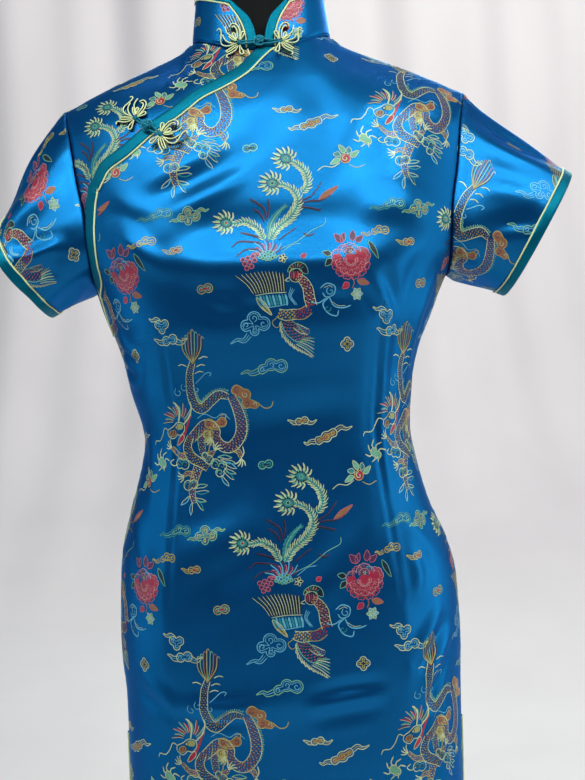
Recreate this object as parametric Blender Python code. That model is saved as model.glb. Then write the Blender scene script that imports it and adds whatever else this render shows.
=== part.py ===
"""A short-sleeved cheongsam on a limbless dress form.

Metres, +Z up, +X towards the wearer's left, -Y is the front.
The origin is the centre of the stand's base, on the floor.
Every cloth piece is a grid laid on one body surface; sheet() gives it its wall.
"""

import math

import bmesh
import bpy
from mathutils import Vector
from mathutils.geometry import tessellate_polygon

# ---- driving sizes -------------------------------------------------------
CLOTH = 0.0015  # wall of the brocade
TAPE = 0.0010  # wall of the bias binding
SEAM_GAP = 0.0003  # clearance between two pieces at a seam
LAY_GAP = 0.0004  # clearance under a piece that lies on another's face
LIFT_GAP = 0.0011  # clearance of the front over the under flap
TAPE_WIDTH = 0.0100
OPENING_TAPE_WIDTH = 0.0125

HEM_HEIGHT = 0.440
ARMPIT_HEIGHT = 1.160
SLIT_TOP = 0.722
SLIT_PARTING = 0.010  # how far each slit edge stands off the side line at the hem

NECK_HALF = 0.069  # half width of the neckline at the shoulder seam
NECK_SIDE_HEIGHT = 1.400
NECK_FRONT_HEIGHT = 1.377
NECK_BACK_HEIGHT = 1.409
SHOULDER_HALF = 0.196
NECK_SWELL = 0.045  # the body surface rises this much under the neck hole

COLLAR_HEIGHT = 0.050
COLLAR_LEAN = 0.0065  # the collar's top is this much nearer the neck
COLLAR_CORNER = 0.024  # how far the rounded fronts draw back at the top
COLLAR_OPENING = 0.0035  # half of the gap between the two fronts at the neckline

SECTION_POWER = 2.6  # above 2, the front and the back of a section are flatter

FORM_GAP = 0.0042  # between the cloth's inside and the form
FORM_GAP_AT_ARMPIT = 0.0050  # added near the armpits
FORM_PLATE_BACK = 0.0080  # the arm plates lie this far inside the armhole seams
FORM_GAP_AT_SHOULDER = 0.0012
FORM_GAP_AT_NECK = 0.0060  # added round the neckline, where the dress doesn't touch
FORM_BOTTOM = 0.660
FORM_NECK_HALF = 0.0535
FORM_NECK_TOP = 1.520
POLE_RADIUS = 0.0125
BASE_RADIUS = 0.175
BASE_HEIGHT = 0.012

# ---- grids ---------------------------------------------------------------
PANEL_COLUMNS = 20
ROWS_BELOW_ARMPIT = 17
ROWS_ABOVE_ARMPIT = 10
ROW_CROWDING = 1.75  # rows crowd together towards the shoulder's round
SLEEVE_COLUMNS = 24
SLEEVE_ROWS = 6
COLLAR_COLUMNS = 30
FORM_COLUMNS = 20
FORM_ROWS_BELOW = 12
FORM_ROWS_ABOVE = 10


class Table:
    """Rows of named columns, read with a smooth curve along the first column."""

    def __init__(self, columns, rows):
        self.columns = {name: i for i, name in enumerate(columns)}
        self.rows = rows

    def slope(self, i, column):
        rows = self.rows
        if i in (0, len(rows) - 1):
            return 0.0
        before = (rows[i][column] - rows[i - 1][column]) / (rows[i][0] - rows[i - 1][0])
        after = (rows[i + 1][column] - rows[i][column]) / (rows[i + 1][0] - rows[i][0])
        if before * after <= 0:
            return 0.0
        return 2 * before * after / (before + after)

    def at(self, key, name):
        rows, column = self.rows, self.columns[name]
        if key <= rows[0][0]:
            return rows[0][column]
        if key >= rows[-1][0]:
            return rows[-1][column]
        i = max(k for k in range(len(rows) - 1) if rows[k][0] <= key)
        low, high = rows[i], rows[i + 1]
        span = high[0] - low[0]
        t = (key - low[0]) / span
        rise = t * t * (3 - 2 * t)
        return (
            low[column] * (1 - rise)
            + high[column] * rise
            + self.slope(i, column) * span * t * (1 - t) ** 2
            - self.slope(i + 1, column) * span * t * t * (1 - t)
        )


# Half widths and depths of the dress at each height, from the side line.
BODY = Table(
    ("height", "right_half", "left_half", "front_depth", "back_depth"),
    (
        (0.440, 0.150, 0.150, 0.100, 0.098),
        (0.550, 0.158, 0.158, 0.103, 0.103),
        (0.660, 0.1650, 0.1640, 0.107, 0.109),
        (0.760, 0.1645, 0.1668, 0.111, 0.117),
        (0.810, 0.1675, 0.1688, 0.113, 0.120),
        (0.865, 0.1655, 0.1672, 0.112, 0.117),
        (0.900, 0.1622, 0.1595, 0.109, 0.109),
        (0.940, 0.1525, 0.1435, 0.104, 0.096),
        (0.985, 0.1390, 0.1327, 0.099, 0.083),
        (1.010, 0.1348, 0.1290, 0.098, 0.080),
        (1.060, 0.1462, 0.1335, 0.108, 0.086),
        (1.090, 0.1520, 0.1410, 0.117, 0.090),
        (1.120, 0.1612, 0.1540, 0.125, 0.095),
        (1.160, 0.1720, 0.1720, 0.127, 0.100),
        (1.180, 0.1880, 0.1880, 0.124, 0.102),
        (1.210, 0.2015, 0.2015, 0.119, 0.104),
        (1.260, 0.2070, 0.2070, 0.107, 0.105),
        (1.300, 0.2090, 0.2090, 0.095, 0.101),
        (1.343, 0.2120, 0.2120, 0.076, 0.092),
        (1.377, 0.2140, 0.2140, 0.058, 0.080),
        (1.410, 0.2160, 0.2160, 0.050, 0.066),
    ),
)

# The shoulder seam, out from the neckline.
SHOULDER = Table(
    ("half", "height"),
    (
        (0.0690, 1.4000),
        (0.0800, 1.3920),
        (0.1050, 1.3805),
        (0.1400, 1.3660),
        (0.1700, 1.3525),
        (0.1960, 1.3425),
    ),
)

# The armhole seam: how far out the body panels reach at each height.
ARMHOLE = Table(
    ("height", "half"),
    (
        (1.160, 0.1720),
        (1.180, 0.1700),
        (1.220, 0.1725),
        (1.260, 0.1805),
        (1.300, 0.1870),
        (1.3425, 0.1960),
    ),
)

# The front's curved opening edge, from the armpit up to the middle of the neckline.
OPENING = Table(
    ("across", "height"),
    (
        (-0.1650, 1.2520),
        (-0.1520, 1.2710),
        (-0.1310, 1.2840),
        (-0.1080, 1.3020),
        (-0.0840, 1.3170),
        (-0.0620, 1.3340),
        (-0.0420, 1.3440),
        (-0.0220, 1.3560),
        (0.0000, 1.3770),
    ),
)
OPENING_SIDE = Table(
    ("height", "half"),
    ((1.160, 0.1690), (1.180, 0.1670), (1.215, 0.1690), (1.235, 0.1680), (1.252, 0.1650)),
)
OPENING_CORNER = (0.1650, 1.2520)
# The under flap's hidden lower edge, beneath the front.
FLAP_LOW = Table(
    ("across", "height"),
    (
        (-0.1710, 1.1660),
        (-0.1600, 1.1780),
        (-0.1480, 1.2100),
        (-0.1350, 1.2400),
        (-0.1150, 1.2680),
        (-0.0900, 1.2840),
        (-0.0650, 1.3020),
        (-0.0420, 1.3170),
        (-0.0200, 1.3290),
        (0.0000, 1.3400),
        (0.0200, 1.3520),
    ),
)
FLAP_FRONT = 0.020  # how far the flap passes the middle of the neckline
LIFT_FADE = (0.036, 0.075)  # the front lies flat on the body again past this band

# The lengthwise creases where the front turns to the side, and the largest soft folds.
CREASE = Table(
    ("height", "right_at", "left_at", "rise"),
    (
        (0.440, 0.100, 0.100, 0.0015),
        (0.640, 0.115, 0.108, 0.0035),
        (0.860, 0.114, 0.108, 0.0045),
        (0.960, 0.102, 0.096, 0.0030),
        (1.060, 0.096, 0.090, 0.0000),
    ),
)
CREASE_SPREAD = 0.026

FOLDS = Table(
    ("across", "height", "turn", "length", "width", "rise"),
    (
        (-0.060, 0.768, 4.0, 0.085, 0.016, 0.0035),
        (0.020, 0.865, 38.0, 0.050, 0.018, 0.0022),
        (-0.075, 0.905, 28.0, 0.055, 0.018, 0.0025),
        (0.132, 0.815, 62.0, 0.060, 0.014, 0.0030),
        (-0.050, 1.235, 33.0, 0.070, 0.018, 0.0022),
        (-0.095, 1.205, 20.0, 0.055, 0.016, 0.0020),
        (0.145, 1.190, 72.0, 0.050, 0.014, -0.0022),
        (-0.140, 1.120, 35.0, 0.030, 0.012, -0.0025),
    ),
)

# Each sleeve: the cuff's top and foot as seen from the front, and its other sizes.
SLEEVES = {
    "right": {
        "side": -1,
        "cuff_top": (0.262, 1.232),
        "cuff_foot": (0.224, 1.138),
        "half_depth": 0.058,
        "bulge": 0.013,
        "skew": 0.7,
        "tuck": 0.007,
        "leave_top": (0.74, -0.67),
        "leave_foot": (0.93, -0.36),
    },
    "left": {
        "side": 1,
        "cuff_top": (0.300, 1.253),
        "cuff_foot": (0.231, 1.138),
        "half_depth": 0.056,
        "bulge": -0.002,
        "skew": 0.0,
        "tuck": 0.0,
        "leave_top": (0.58, -0.81),
        "leave_foot": (0.93, -0.36),
    },
}

COLOURS = {
    "brocade": ((0.010, 0.190, 0.560), 0.35, 0.25),
    "binding": ((0.005, 0.230, 0.330), 0.40, 0.15),
    "form": ((0.012, 0.012, 0.013), 0.75, 0.0),
    "steel": ((0.030, 0.030, 0.032), 0.35, 0.9),
}


def clamp(value, low=0.0, high=1.0):
    return max(low, min(high, value))


def smooth(value, low, high):
    """0 below low, 1 above high, and an even turn between them."""
    t = clamp((value - low) / (high - low))
    return t * t * (3 - 2 * t)


def mix(first, second, share):
    return first + (second - first) * share


# ---- the body surface ----------------------------------------------------
def half_width(x, z):
    return BODY.at(z, "left_half" if x >= 0 else "right_half")


def ridge_height(x):
    """Height of the line along the shoulders where the front meets the back."""
    if abs(x) >= NECK_HALF:
        return SHOULDER.at(abs(x), "height")
    return NECK_SIDE_HEIGHT + NECK_SWELL * (1 - (x / NECK_HALF) ** 2)


def shoulder_round(x, z):
    """1 on the chest, falling to 0 in a quarter round at the shoulder line."""
    radius = mix(0.075, 0.055, smooth(abs(x), 0.07, 0.19))
    below = clamp((ridge_height(x) - z) / radius)
    return math.sqrt(max(0.0, 1 - (1 - below) ** 2))


def crease(x, z):
    at = CREASE.at(z, "left_at" if x >= 0 else "right_at")
    return CREASE.at(z, "rise") * math.exp(-abs(abs(x) - at) / CREASE_SPREAD)


def folds(x, z):
    """Height of the soft folds over the smooth front."""
    total = 0.0
    for across, height, turn, length, width, rise in FOLDS.rows:
        angle = math.radians(turn)
        along = (x - across) * math.cos(angle) + (z - height) * math.sin(angle)
        aside = (z - height) * math.cos(angle) - (x - across) * math.sin(angle)
        total += rise * math.exp(-((along / length) ** 2) - (aside / width) ** 2)
    return total


def body_point(facing, x, z, inset=0.0):
    """The dress's outer surface. facing is -1 in front and 1 behind."""
    half = half_width(x, z) - inset
    section = math.sqrt(max(0.0, 1 - min(1.0, abs(x) / half) ** SECTION_POWER))
    rounding = shoulder_round(x, z + inset)
    depth = BODY.at(z, "front_depth" if facing < 0 else "back_depth") - inset
    if facing < 0 and not inset:
        depth += (crease(x, z) + folds(x, z)) * section
    return Vector((x, facing * depth * section * rounding, z))


# ---- panels: (across, up) in 0..1 to a point -----------------------------
ARMPIT_ROW = ROWS_BELOW_ARMPIT / (ROWS_BELOW_ARMPIT + ROWS_ABOVE_ARMPIT)


def neckline_height(facing, x):
    middle = NECK_FRONT_HEIGHT if facing < 0 else NECK_BACK_HEIGHT
    return mix(middle, NECK_SIDE_HEIGHT, clamp(abs(x) / NECK_HALF) ** 2)


def top_height(facing, x):
    if abs(x) < NECK_HALF:
        return neckline_height(facing, x)
    return ridge_height(x)


def panel_point(facing, across, up, opened=False):
    """A point of the front or the back panel; opened cuts the wearer's right front along the opening."""
    u = 2 * across - 1
    open_side = opened and u < 0
    if up <= ARMPIT_ROW:
        z = mix(HEM_HEIGHT, ARMPIT_HEIGHT, up / ARMPIT_ROW)
        reach = BODY.at(z, "left_half" if u >= 0 else "right_half")
        if open_side:
            reach -= (ARMHOLE.at(z, "half") - OPENING_SIDE.at(z, "half")) * smooth(z, 1.11, 1.16)
        x = reach * math.sin(u * math.pi / 2)
    else:
        rise = (up - ARMPIT_ROW) / (1 - ARMPIT_ROW)
        climb = 1 - (1 - rise) ** ROW_CROWDING
        tip, tip_height = OPENING_CORNER if open_side else (SHOULDER_HALF, ridge_height(SHOULDER_HALF))
        edge = OPENING_SIDE if open_side else ARMHOLE
        top = OPENING.at(u * tip, "height") if open_side else top_height(facing, u * tip)
        z = mix(ARMPIT_HEIGHT, top, climb)
        reach = edge.at(mix(ARMPIT_HEIGHT, tip_height, climb), "half")
        x = reach * mix(math.sin(u * math.pi / 2), u, smooth(rise, 0.0, 0.9))
    return body_point(facing, x, z)


def surface_normal(point, across, up, step=0.004):
    """Outward normal of a panel function at one place."""
    left, right = clamp(across - step), clamp(across + step)
    low, high = clamp(up - step), clamp(up + step)
    sideways = point(right, up) - point(left, up)
    upward = point(across, high) - point(across, low)
    return sideways.cross(upward).normalized()


def raised(point, across, up, height):
    return point(across, up) + surface_normal(point, across, up) * height


def opening_line():
    """The whole opening edge as (across, height) points."""
    slanted = [(x, z) for x, z in OPENING.rows]
    upright = [(-half, z) for z, half in OPENING_SIDE.rows]
    return upright + slanted[1:]


def past_opening(x, z):
    """Distance from the opening edge."""
    line = opening_line()
    nearest = 1.0
    for (ax, az), (bx, bz) in zip(line, line[1:]):
        run, climb = bx - ax, bz - az
        t = clamp(((x - ax) * run + (z - az) * climb) / (run * run + climb * climb))
        nearest = min(nearest, math.hypot(x - ax - run * t, z - az - climb * t))
    return nearest


def front_lift(x, z):
    """The front lies on the under flap near its opening edge."""
    near = 1 - smooth(past_opening(x, z), *LIFT_FADE)
    return (CLOTH + LIFT_GAP) * near * smooth(z, 1.115, 1.150)


def front_point(across, up):
    def flat(a, b):
        return panel_point(-1, a, b, opened=True)

    base = flat(across, up)
    lifted = base + surface_normal(flat, across, up) * front_lift(base.x, base.z)
    return seam_side(-1, part_slit(lifted, -1, across))


def back_point(across, up):
    return seam_side(1, part_slit(panel_point(1, 1 - across, up), 1, across))


def seam_side(facing, place):
    """Keeps a place on its own side of the side and shoulder seams."""
    if place.y * facing < SEAM_GAP / 2:
        place.y = facing * SEAM_GAP / 2
    return place


def part_slit(place, facing, across):
    """Below the slits the side edges draw apart."""
    edge = smooth(abs(2 * across - 1), 0.55, 1.0)
    open_share = smooth(SLIT_TOP - place.z, 0.0, SLIT_TOP - HEM_HEIGHT)
    return place + Vector((0, facing * SLIT_PARTING * open_share * edge, 0))


def flap_point(across, up):
    """The under flap: neckline, right shoulder and armhole, with a hidden lower edge."""
    share, rise = 1 - across, 1 - (1 - up) ** ROW_CROWDING
    low_end = FLAP_LOW.rows[0]
    low_x = mix(FLAP_FRONT, low_end[0], share)
    top_x = mix(FLAP_FRONT, -SHOULDER_HALF, share)
    z = mix(FLAP_LOW.at(low_x, "height"), top_height(-1, top_x), rise)
    seam_z = mix(low_end[1], ridge_height(SHOULDER_HALF), rise)
    x = mix(FLAP_FRONT, -ARMHOLE.at(seam_z, "half"), share)
    return seam_side(-1, body_point(-1, x, z))


# ---- sleeves -------------------------------------------------------------
def armhole_point(side, turn):
    """The armhole seam, turning from the shoulder tip over the front to the armpit and up the back."""
    facing = -1 if turn < 0.5 else 1
    down = turn * 2 if turn < 0.5 else 2 - turn * 2
    fall = (1 - math.cos(down * math.pi)) / 2
    z = mix(ridge_height(SHOULDER_HALF), ARMPIT_HEIGHT, fall)
    return body_point(facing, side * ARMHOLE.at(z, "half"), z)


def cuff_point(sizes, turn):
    """The cuff's edge, a leaning ring with a bulge on its front and a tuck near its foot."""
    angle = 2 * math.pi * turn
    top, foot = Vector(sizes["cuff_top"]), Vector(sizes["cuff_foot"])
    middle, reach = (top + foot) / 2, (top - foot) / 2
    along = middle + reach * math.cos(angle)
    outward = Vector((reach.y, -reach.x)).normalized()
    along += outward * sizes["bulge"] * math.sin(angle) ** 2 * (1 + sizes["skew"] * math.cos(angle))
    depth = sizes["half_depth"] * math.sin(angle)
    depth -= sizes["tuck"] * math.exp(-(((turn - 0.36) / 0.035) ** 2))
    return Vector((sizes["side"] * along.x, -depth, along.y))


def sleeve_point(sizes, around, out):
    side = sizes["side"]
    turn = around if side > 0 else 1 - around
    start, end = armhole_point(side, turn), cuff_point(sizes, turn)
    span = (end - start).length
    high = (1 + math.cos(2 * math.pi * turn)) / 2
    ways = [mix(f, t, high) for f, t in zip(sizes["leave_foot"], sizes["leave_top"])]
    leave = Vector((side * ways[0], 0, ways[1])).normalized() * span
    arrive = (end - start).normalized() * span
    place = start + leave * (0.0012 / span)
    t = out
    return (
        place * (1 + 2 * t) * (1 - t) ** 2
        + leave * t * (1 - t) ** 2
        + end * t * t * (3 - 2 * t)
        - arrive * t * t * (1 - t)
    )


# ---- collar --------------------------------------------------------------
def collar_point(around, up):
    """The stand collar, from the wearer's left front round the back to the right front."""
    climb = up * COLLAR_HEIGHT
    draw = COLLAR_OPENING + COLLAR_CORNER * clamp(up) ** 2.4
    start = math.asin(draw / NECK_HALF)
    angle = mix(math.pi - start, start - math.pi, around)
    x = NECK_HALF * math.sin(angle)
    facing = -1 if math.cos(angle) < 0 else 1
    base = body_point(facing, x, neckline_height(facing, x))
    drawn = 1 - COLLAR_LEAN / NECK_HALF * up
    top_drop = 0.006 * smooth(up, 0.55, 1.0) * (1 - smooth(NECK_HALF * (math.pi - abs(angle)) - draw, 0.0, 0.02))
    lift = SEAM_GAP + CLOTH * 0.8
    return Vector((base.x * drawn, base.y * drawn, base.z + lift + climb - top_drop))


# ---- building ------------------------------------------------------------
def material(name):
    found = bpy.data.materials.get(name)
    if found:
        return found
    colour, roughness, metallic = COLOURS[name]
    made = bpy.data.materials.new(name)
    made.use_nodes = True
    shader = made.node_tree.nodes["Principled BSDF"]
    shader.inputs["Base Color"].default_value = (*colour, 1)
    shader.inputs["Roughness"].default_value = roughness
    shader.inputs["Metallic"].default_value = metallic
    return made


def add_object(name, bm, look, collection):
    mesh = bpy.data.meshes.new(name)
    bm.to_mesh(mesh)
    bm.free()
    mesh.shade_smooth()
    made = bpy.data.objects.new(name, mesh)
    made.data.materials.append(material(look))
    collection.objects.link(made)
    return made


def facet_corners(c, r, columns):
    """The two facets of a grid cell; the cut between them is mirrored on the other half."""
    if 2 * c < columns:
        return ((c, r), (c + 1, r), (c + 1, r + 1)), ((c, r), (c + 1, r + 1), (c, r + 1))
    return ((c, r), (c + 1, r), (c, r + 1)), ((c + 1, r), (c + 1, r + 1), (c, r + 1))


def sheet(name, point, columns, rows, look, collection, wall=CLOTH, ring=False, keep=None):
    """A grid laid out by point(across, up) and given its wall inwards from that face."""
    count = columns if ring else columns + 1
    face = [[point(c / columns, r / rows) for r in range(rows + 1)] for c in range(count)]

    def beside(c, r):
        c = c % count if ring else max(0, min(columns, c))
        return face[c][max(0, min(rows, r))]

    def corner(side, place):
        return side[place[0] % count if ring else place[0]][place[1]]

    bm = bmesh.new()
    outer, inner = [], []
    for c in range(count):
        outer.append([bm.verts.new(place) for place in face[c]])
        inner.append([])
        for r in range(rows + 1):
            sideways = beside(c + 1, r) - beside(c - 1, r)
            upward = beside(c, r + 1) - beside(c, r - 1)
            place = face[c][r] - sideways.cross(upward).normalized() * wall
            inner[-1].append(bm.verts.new(keep(place) if keep else place))
    for c in range(columns):
        left, right = c, (c + 1) % count
        for r in range(rows):
            for a, b, c1 in facet_corners(c, r, columns):
                bm.faces.new((corner(outer, a), corner(outer, b), corner(outer, c1)))
                bm.faces.new((corner(inner, c1), corner(inner, b), corner(inner, a)))
        bm.faces.new((outer[right][0], outer[left][0], inner[left][0], inner[right][0]))
        bm.faces.new((outer[left][rows], outer[right][rows], inner[right][rows], inner[left][rows]))
    if not ring:
        for r in range(rows):
            bm.faces.new((outer[0][r], outer[0][r + 1], inner[0][r + 1], inner[0][r]))
            last_o, last_i = outer[columns], inner[columns]
            bm.faces.new((last_o[r + 1], last_o[r], last_i[r], last_i[r + 1]))
    return add_object(name, bm, look, collection)


def faceted(point, columns, rows):
    """The same surface as the grid's flat facets lay it."""

    def laid(across, up):
        c, r = clamp(across) * columns, clamp(up) * rows
        i, j = min(int(c), columns - 1), min(int(r), rows - 1)
        c, r = c - i, r - j
        mirrored = 2 * i >= columns
        if mirrored:
            c = 1 - c
        near, far_side = (i + 1, i) if mirrored else (i, i + 1)
        start = point(near / columns, j / rows)
        far = point(far_side / columns, (j + 1) / rows)
        if c >= r:
            middle = point(far_side / columns, j / rows)
            return start + (middle - start) * c + (far - middle) * r
        middle = point(near / columns, (j + 1) / rows)
        return start + (middle - start) * r + (far - middle) * c

    return laid


def remembered(point):
    """Works each place out once."""
    known = {}

    def laid(across, up):
        key = (round(across, 7), round(up, 7))
        if key not in known:
            known[key] = point(across, up)
        return known[key].copy()

    return laid


def reach_in(point, a, b, toward, width):
    """How far to step from (a, b) for the panel's own measure to equal width."""
    start, low, high = point(a, b), 0.0, 0.45
    for _ in range(26):
        middle = (low + high) / 2
        step = point(a + toward[0] * middle, b + toward[1] * middle) - start
        low, high = (middle, high) if step.length < width else (low, middle)
    return low


def tape_columns(point, corners, inward, grid, width):
    """Places (outer, inner) down a tape that turns at corners along a panel's edge.

    inward holds each leg's direction into the panel. Corners between legs are mitred, and the
    tape bends where the panel's own grid does."""
    legs = len(inward)

    def inner_corner(i):
        a, b = corners[i]
        sides = inward[max(0, i - 1) : i + 1] if i < legs else inward[-1:]
        moves = [(d, reach_in(point, a, b, d, width)) for d in sides]
        return a + sum(d[0] * m for d, m in moves), b + sum(d[1] * m for d, m in moves)

    columns = []
    for leg in range(legs):
        first, last, d = corners[leg], corners[leg + 1], inward[leg]
        along = 1 if d[0] else 0
        columns.append((first, inner_corner(leg)))
        pitch, span = grid[along], last[along] - first[along]
        margin = 0.35 / pitch
        places = [k / pitch for k in range(pitch + 1)]
        low, high = sorted((first[along], last[along]))
        stops = [p for p in places if low + margin < p < high - margin]
        for stop in stops if span > 0 else reversed(stops):
            outer = [first[0], first[1]]
            outer[along] = stop
            m = reach_in(point, *outer, d, width)
            columns.append((tuple(outer), (outer[0] + d[0] * m, outer[1] + d[1] * m)))
    columns.append((corners[-1], inner_corner(legs)))
    return columns


def tape(name, point, corners, inward, grid, collection, width=TAPE_WIDTH, strips=1, gap=LAY_GAP):
    """A flat binding lying on the face of a panel along its edge."""
    flat = faceted(point, *grid)
    columns = tape_columns(flat, corners, inward, grid, width)

    def laid(along, across):
        outer, inner = columns[round(along * (len(columns) - 1))]
        a, b = mix(outer[0], inner[0], across), mix(outer[1], inner[1], across)
        return flat(a, b) + surface_normal(flat, a, b, 0.015) * (TAPE + gap)

    return sheet(name, laid, len(columns) - 1, strips, "binding", collection, TAPE)


def at_height(z):
    """The panel place of a height below the armpit."""
    return ARMPIT_ROW * (z - HEM_HEIGHT) / (ARMPIT_HEIGHT - HEM_HEIGHT)


PANEL_GRID = (PANEL_COLUMNS, ROWS_BELOW_ARMPIT + ROWS_ABOVE_ARMPIT)
COLLAR_GRID = (COLLAR_COLUMNS, 3)


def build_garment(front, back, collection):
    def before(place):
        return seam_side(-1, place)

    def behind(place):
        return seam_side(1, place)

    sheet("front_panel", front, *PANEL_GRID, "brocade", collection, keep=before)
    sheet("back_panel", back, *PANEL_GRID, "brocade", collection, keep=behind)
    sheet("under_flap", flap_point, 14, 12, "brocade", collection, keep=before)
    sheet("collar", collar_point, *COLLAR_GRID, "brocade", collection)
    for name, sizes in SLEEVES.items():

        def point(a, b, sizes=sizes):
            return sleeve_point(sizes, a, b)

        flat = faceted(point, SLEEVE_COLUMNS, SLEEVE_ROWS)

        def cuff(a, b, point=point, flat=flat):
            out = mix(0.91, 1.0, b)
            return flat(a, out) + surface_normal(flat, a, out, 0.015) * (TAPE + LAY_GAP)

        grid = (SLEEVE_COLUMNS, SLEEVE_ROWS)
        sheet(f"sleeve_{name}", point, *grid, "brocade", collection, ring=True)
        sheet(f"cuff_binding_{name}", cuff, grid[0], 1, "binding", collection, TAPE, ring=True)


def build_bindings(front, back, collection):
    slit = at_height(SLIT_TOP)
    hem = ((0, slit), (0, 0), (1, 0), (1, slit))
    into = ((1, 0), (0, 1), (-1, 0))
    tape("front_hem_binding", front, hem, into, PANEL_GRID, collection)
    tape("back_hem_binding", back, hem, into, PANEL_GRID, collection)
    opening = ((0.5, 1), (0, 1), (0, at_height(1.120)))
    sides = ((0, -1), (1, 0))
    wide = OPENING_TAPE_WIDTH
    tape("opening_binding", front, opening, sides, PANEL_GRID, collection, wide, 3, 2 * LAY_GAP)
    fronts = ((1, 0), (1, 1), (0, 1), (0, 0))
    turned = ((-1, 0), (0, -1), (1, 0))
    tape("collar_binding", collar_point, fronts, turned, COLLAR_GRID, collection)


# ---- knotted frogs -------------------------------------------------------
FROG_RISE = 0.0030  # how high the folded strip stands
FROG_HEART = 0.0032  # radius of the middle where the petals meet
STEM_HALF = 0.0017
KNOT_RADIUS = 0.0042
LOOP_INSIDE = KNOT_RADIUS + 0.0005
LOOP_OUTSIDE = LOOP_INSIDE + 0.0018

# Turn from the outward direction, length and half width of each petal, in order round the heart.
PETALS = (
    (-131, 0.0100, 0.0015),
    (-104, 0.0115, 0.0017),
    (-78, 0.0185, 0.0024),
    (-51, 0.0205, 0.0020),
    (-26, 0.0245, 0.0026),
    (22, 0.0180, 0.0024),
    (48, 0.0195, 0.0024),
    (84, 0.0130, 0.0022),
    (118, 0.0115, 0.0019),
)
PETAL_SHAPE = (
    (0.0, -0.14), (0.5, -0.8), (0.84, -1.0), (0.97, -0.6),
    (0.97, 0.6), (0.84, 1.0), (0.5, 0.8), (0.0, 0.14),
)

# Each half's middle, and whether its stem ends in a bar at the knot or in a loop round it.
FROGS = {
    "neck_frog_right": ((-0.0205, 1.3835), "bar"),
    "neck_frog_left": ((0.0185, 1.3822), "loop"),
    "opening_frog_upper": ((-0.1190, 1.3115), "bar"),
    "opening_frog_lower": ((-0.0945, 1.2910), "loop"),
}
KNOTS = {"neck_knot": (-0.0010, 1.3838), "opening_knot": (-0.1072, 1.3015)}


def collar_depth(x, z):
    """How far forward the collar's face stands at a height above the neckline."""
    up = (z - neckline_height(-1, x)) / COLLAR_HEIGHT
    drawn = 1 - COLLAR_LEAN / NECK_HALF * clamp(up)
    wide = min(abs(x) / drawn, NECK_HALF)
    return body_point(-1, wide, neckline_height(-1, wide)).y * drawn


def trim_place(x, z, rise):
    """A place standing off the topmost cloth at (x, z)."""
    seam = neckline_height(-1, x)
    edge = OPENING.at(min(x, 0.0), "height") + max(x, 0.0) * 2
    on_front = 1 - smooth(z, edge + 0.0045, edge + 0.0075)
    stack = (CLOTH + LIFT_GAP + TAPE + 2 * LAY_GAP) * 1.4
    low = body_point(-1, x, min(z, seam)).y - stack * on_front
    high = collar_depth(x, max(z, seam)) - TAPE - LAY_GAP * 2
    y = mix(low, min(high, low) if z < seam else high, smooth(z, seam + 0.001, seam + 0.005))
    return Vector((x, y - 0.0006 - rise, z))


def arc(middle, radius, first, last, steps):
    turns = [math.radians(mix(first, last, k / steps)) for k in range(steps + 1)]
    return [(middle + radius * math.cos(t), radius * math.sin(t)) for t in turns]


def frog_outline(kind, stem):
    """The outline round the petals and along the stem, as (outward, aside) from the heart."""
    outline = []
    for turn, length, half in PETALS:
        out = (math.cos(math.radians(turn)), math.sin(math.radians(turn)))
        for share, spread in PETAL_SHAPE:
            along, aside = mix(FROG_HEART, length, share), half * spread
            outline.append((out[0] * along - out[1] * aside, out[1] * along + out[0] * aside))
    if kind == "bar":
        end = KNOT_RADIUS + 0.0004 - stem
        return outline + [(-FROG_HEART, STEM_HALF), (end, STEM_HALF), (end, -STEM_HALF), (-FROG_HEART, -STEM_HALF)]
    outline.append((-FROG_HEART, STEM_HALF))
    outline += arc(-stem, LOOP_OUTSIDE, 20, 150, 6)
    outline += arc(-stem, LOOP_INSIDE, 150, -150, 12)
    outline += arc(-stem, LOOP_OUTSIDE, -150, -20, 6)
    return outline + [(-FROG_HEART, -STEM_HALF)]


def plate(name, outline, lay, collection):
    """A plate with the given outline, laid by lay(outward, aside, rise)."""
    bm = bmesh.new()
    low = [bm.verts.new(lay(x, y, 0.0)) for x, y in outline]
    high = [bm.verts.new(lay(x, y, FROG_RISE)) for x, y in outline]
    count = len(outline)
    for k in range(count):
        after = (k + 1) % count
        bm.faces.new((low[k], low[after], high[after], high[k]))
    flat = [Vector((x, y, 0)) for x, y in outline]
    for a, b, c in tessellate_polygon([flat]):
        bm.faces.new((high[a], high[b], high[c]))
        bm.faces.new((low[c], low[b], low[a]))
    bmesh.ops.recalc_face_normals(bm, faces=bm.faces)
    return add_object(name, bm, "binding", collection)


def build_frogs(collection):
    for name, ((cx, cz), kind) in FROGS.items():
        knot = KNOTS["neck_knot" if name.startswith("neck") else "opening_knot"]
        stem = math.hypot(cx - knot[0], cz - knot[1])
        away = math.atan2(cz - knot[1], cx - knot[0])
        out = Vector((math.cos(away), math.sin(away)))
        mirror = 1 if cx < knot[0] else -1
        side = Vector((-out.y, out.x)) * mirror

        def lay(outward, aside, rise, cx=cx, cz=cz, out=out, side=side):
            flat = out * outward + side * aside
            return trim_place(cx + flat.x, cz + flat.y, rise)

        plate(name, frog_outline(kind, stem), lay, collection)
    for name, (x, z) in KNOTS.items():
        bm = bmesh.new()
        bmesh.ops.create_uvsphere(bm, u_segments=12, v_segments=8, radius=KNOT_RADIUS)
        centre = trim_place(x, z, 0.0) + Vector((0, -KNOT_RADIUS, 0))
        bmesh.ops.translate(bm, verts=bm.verts, vec=centre)
        add_object(name, bm, "binding", collection)


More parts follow.
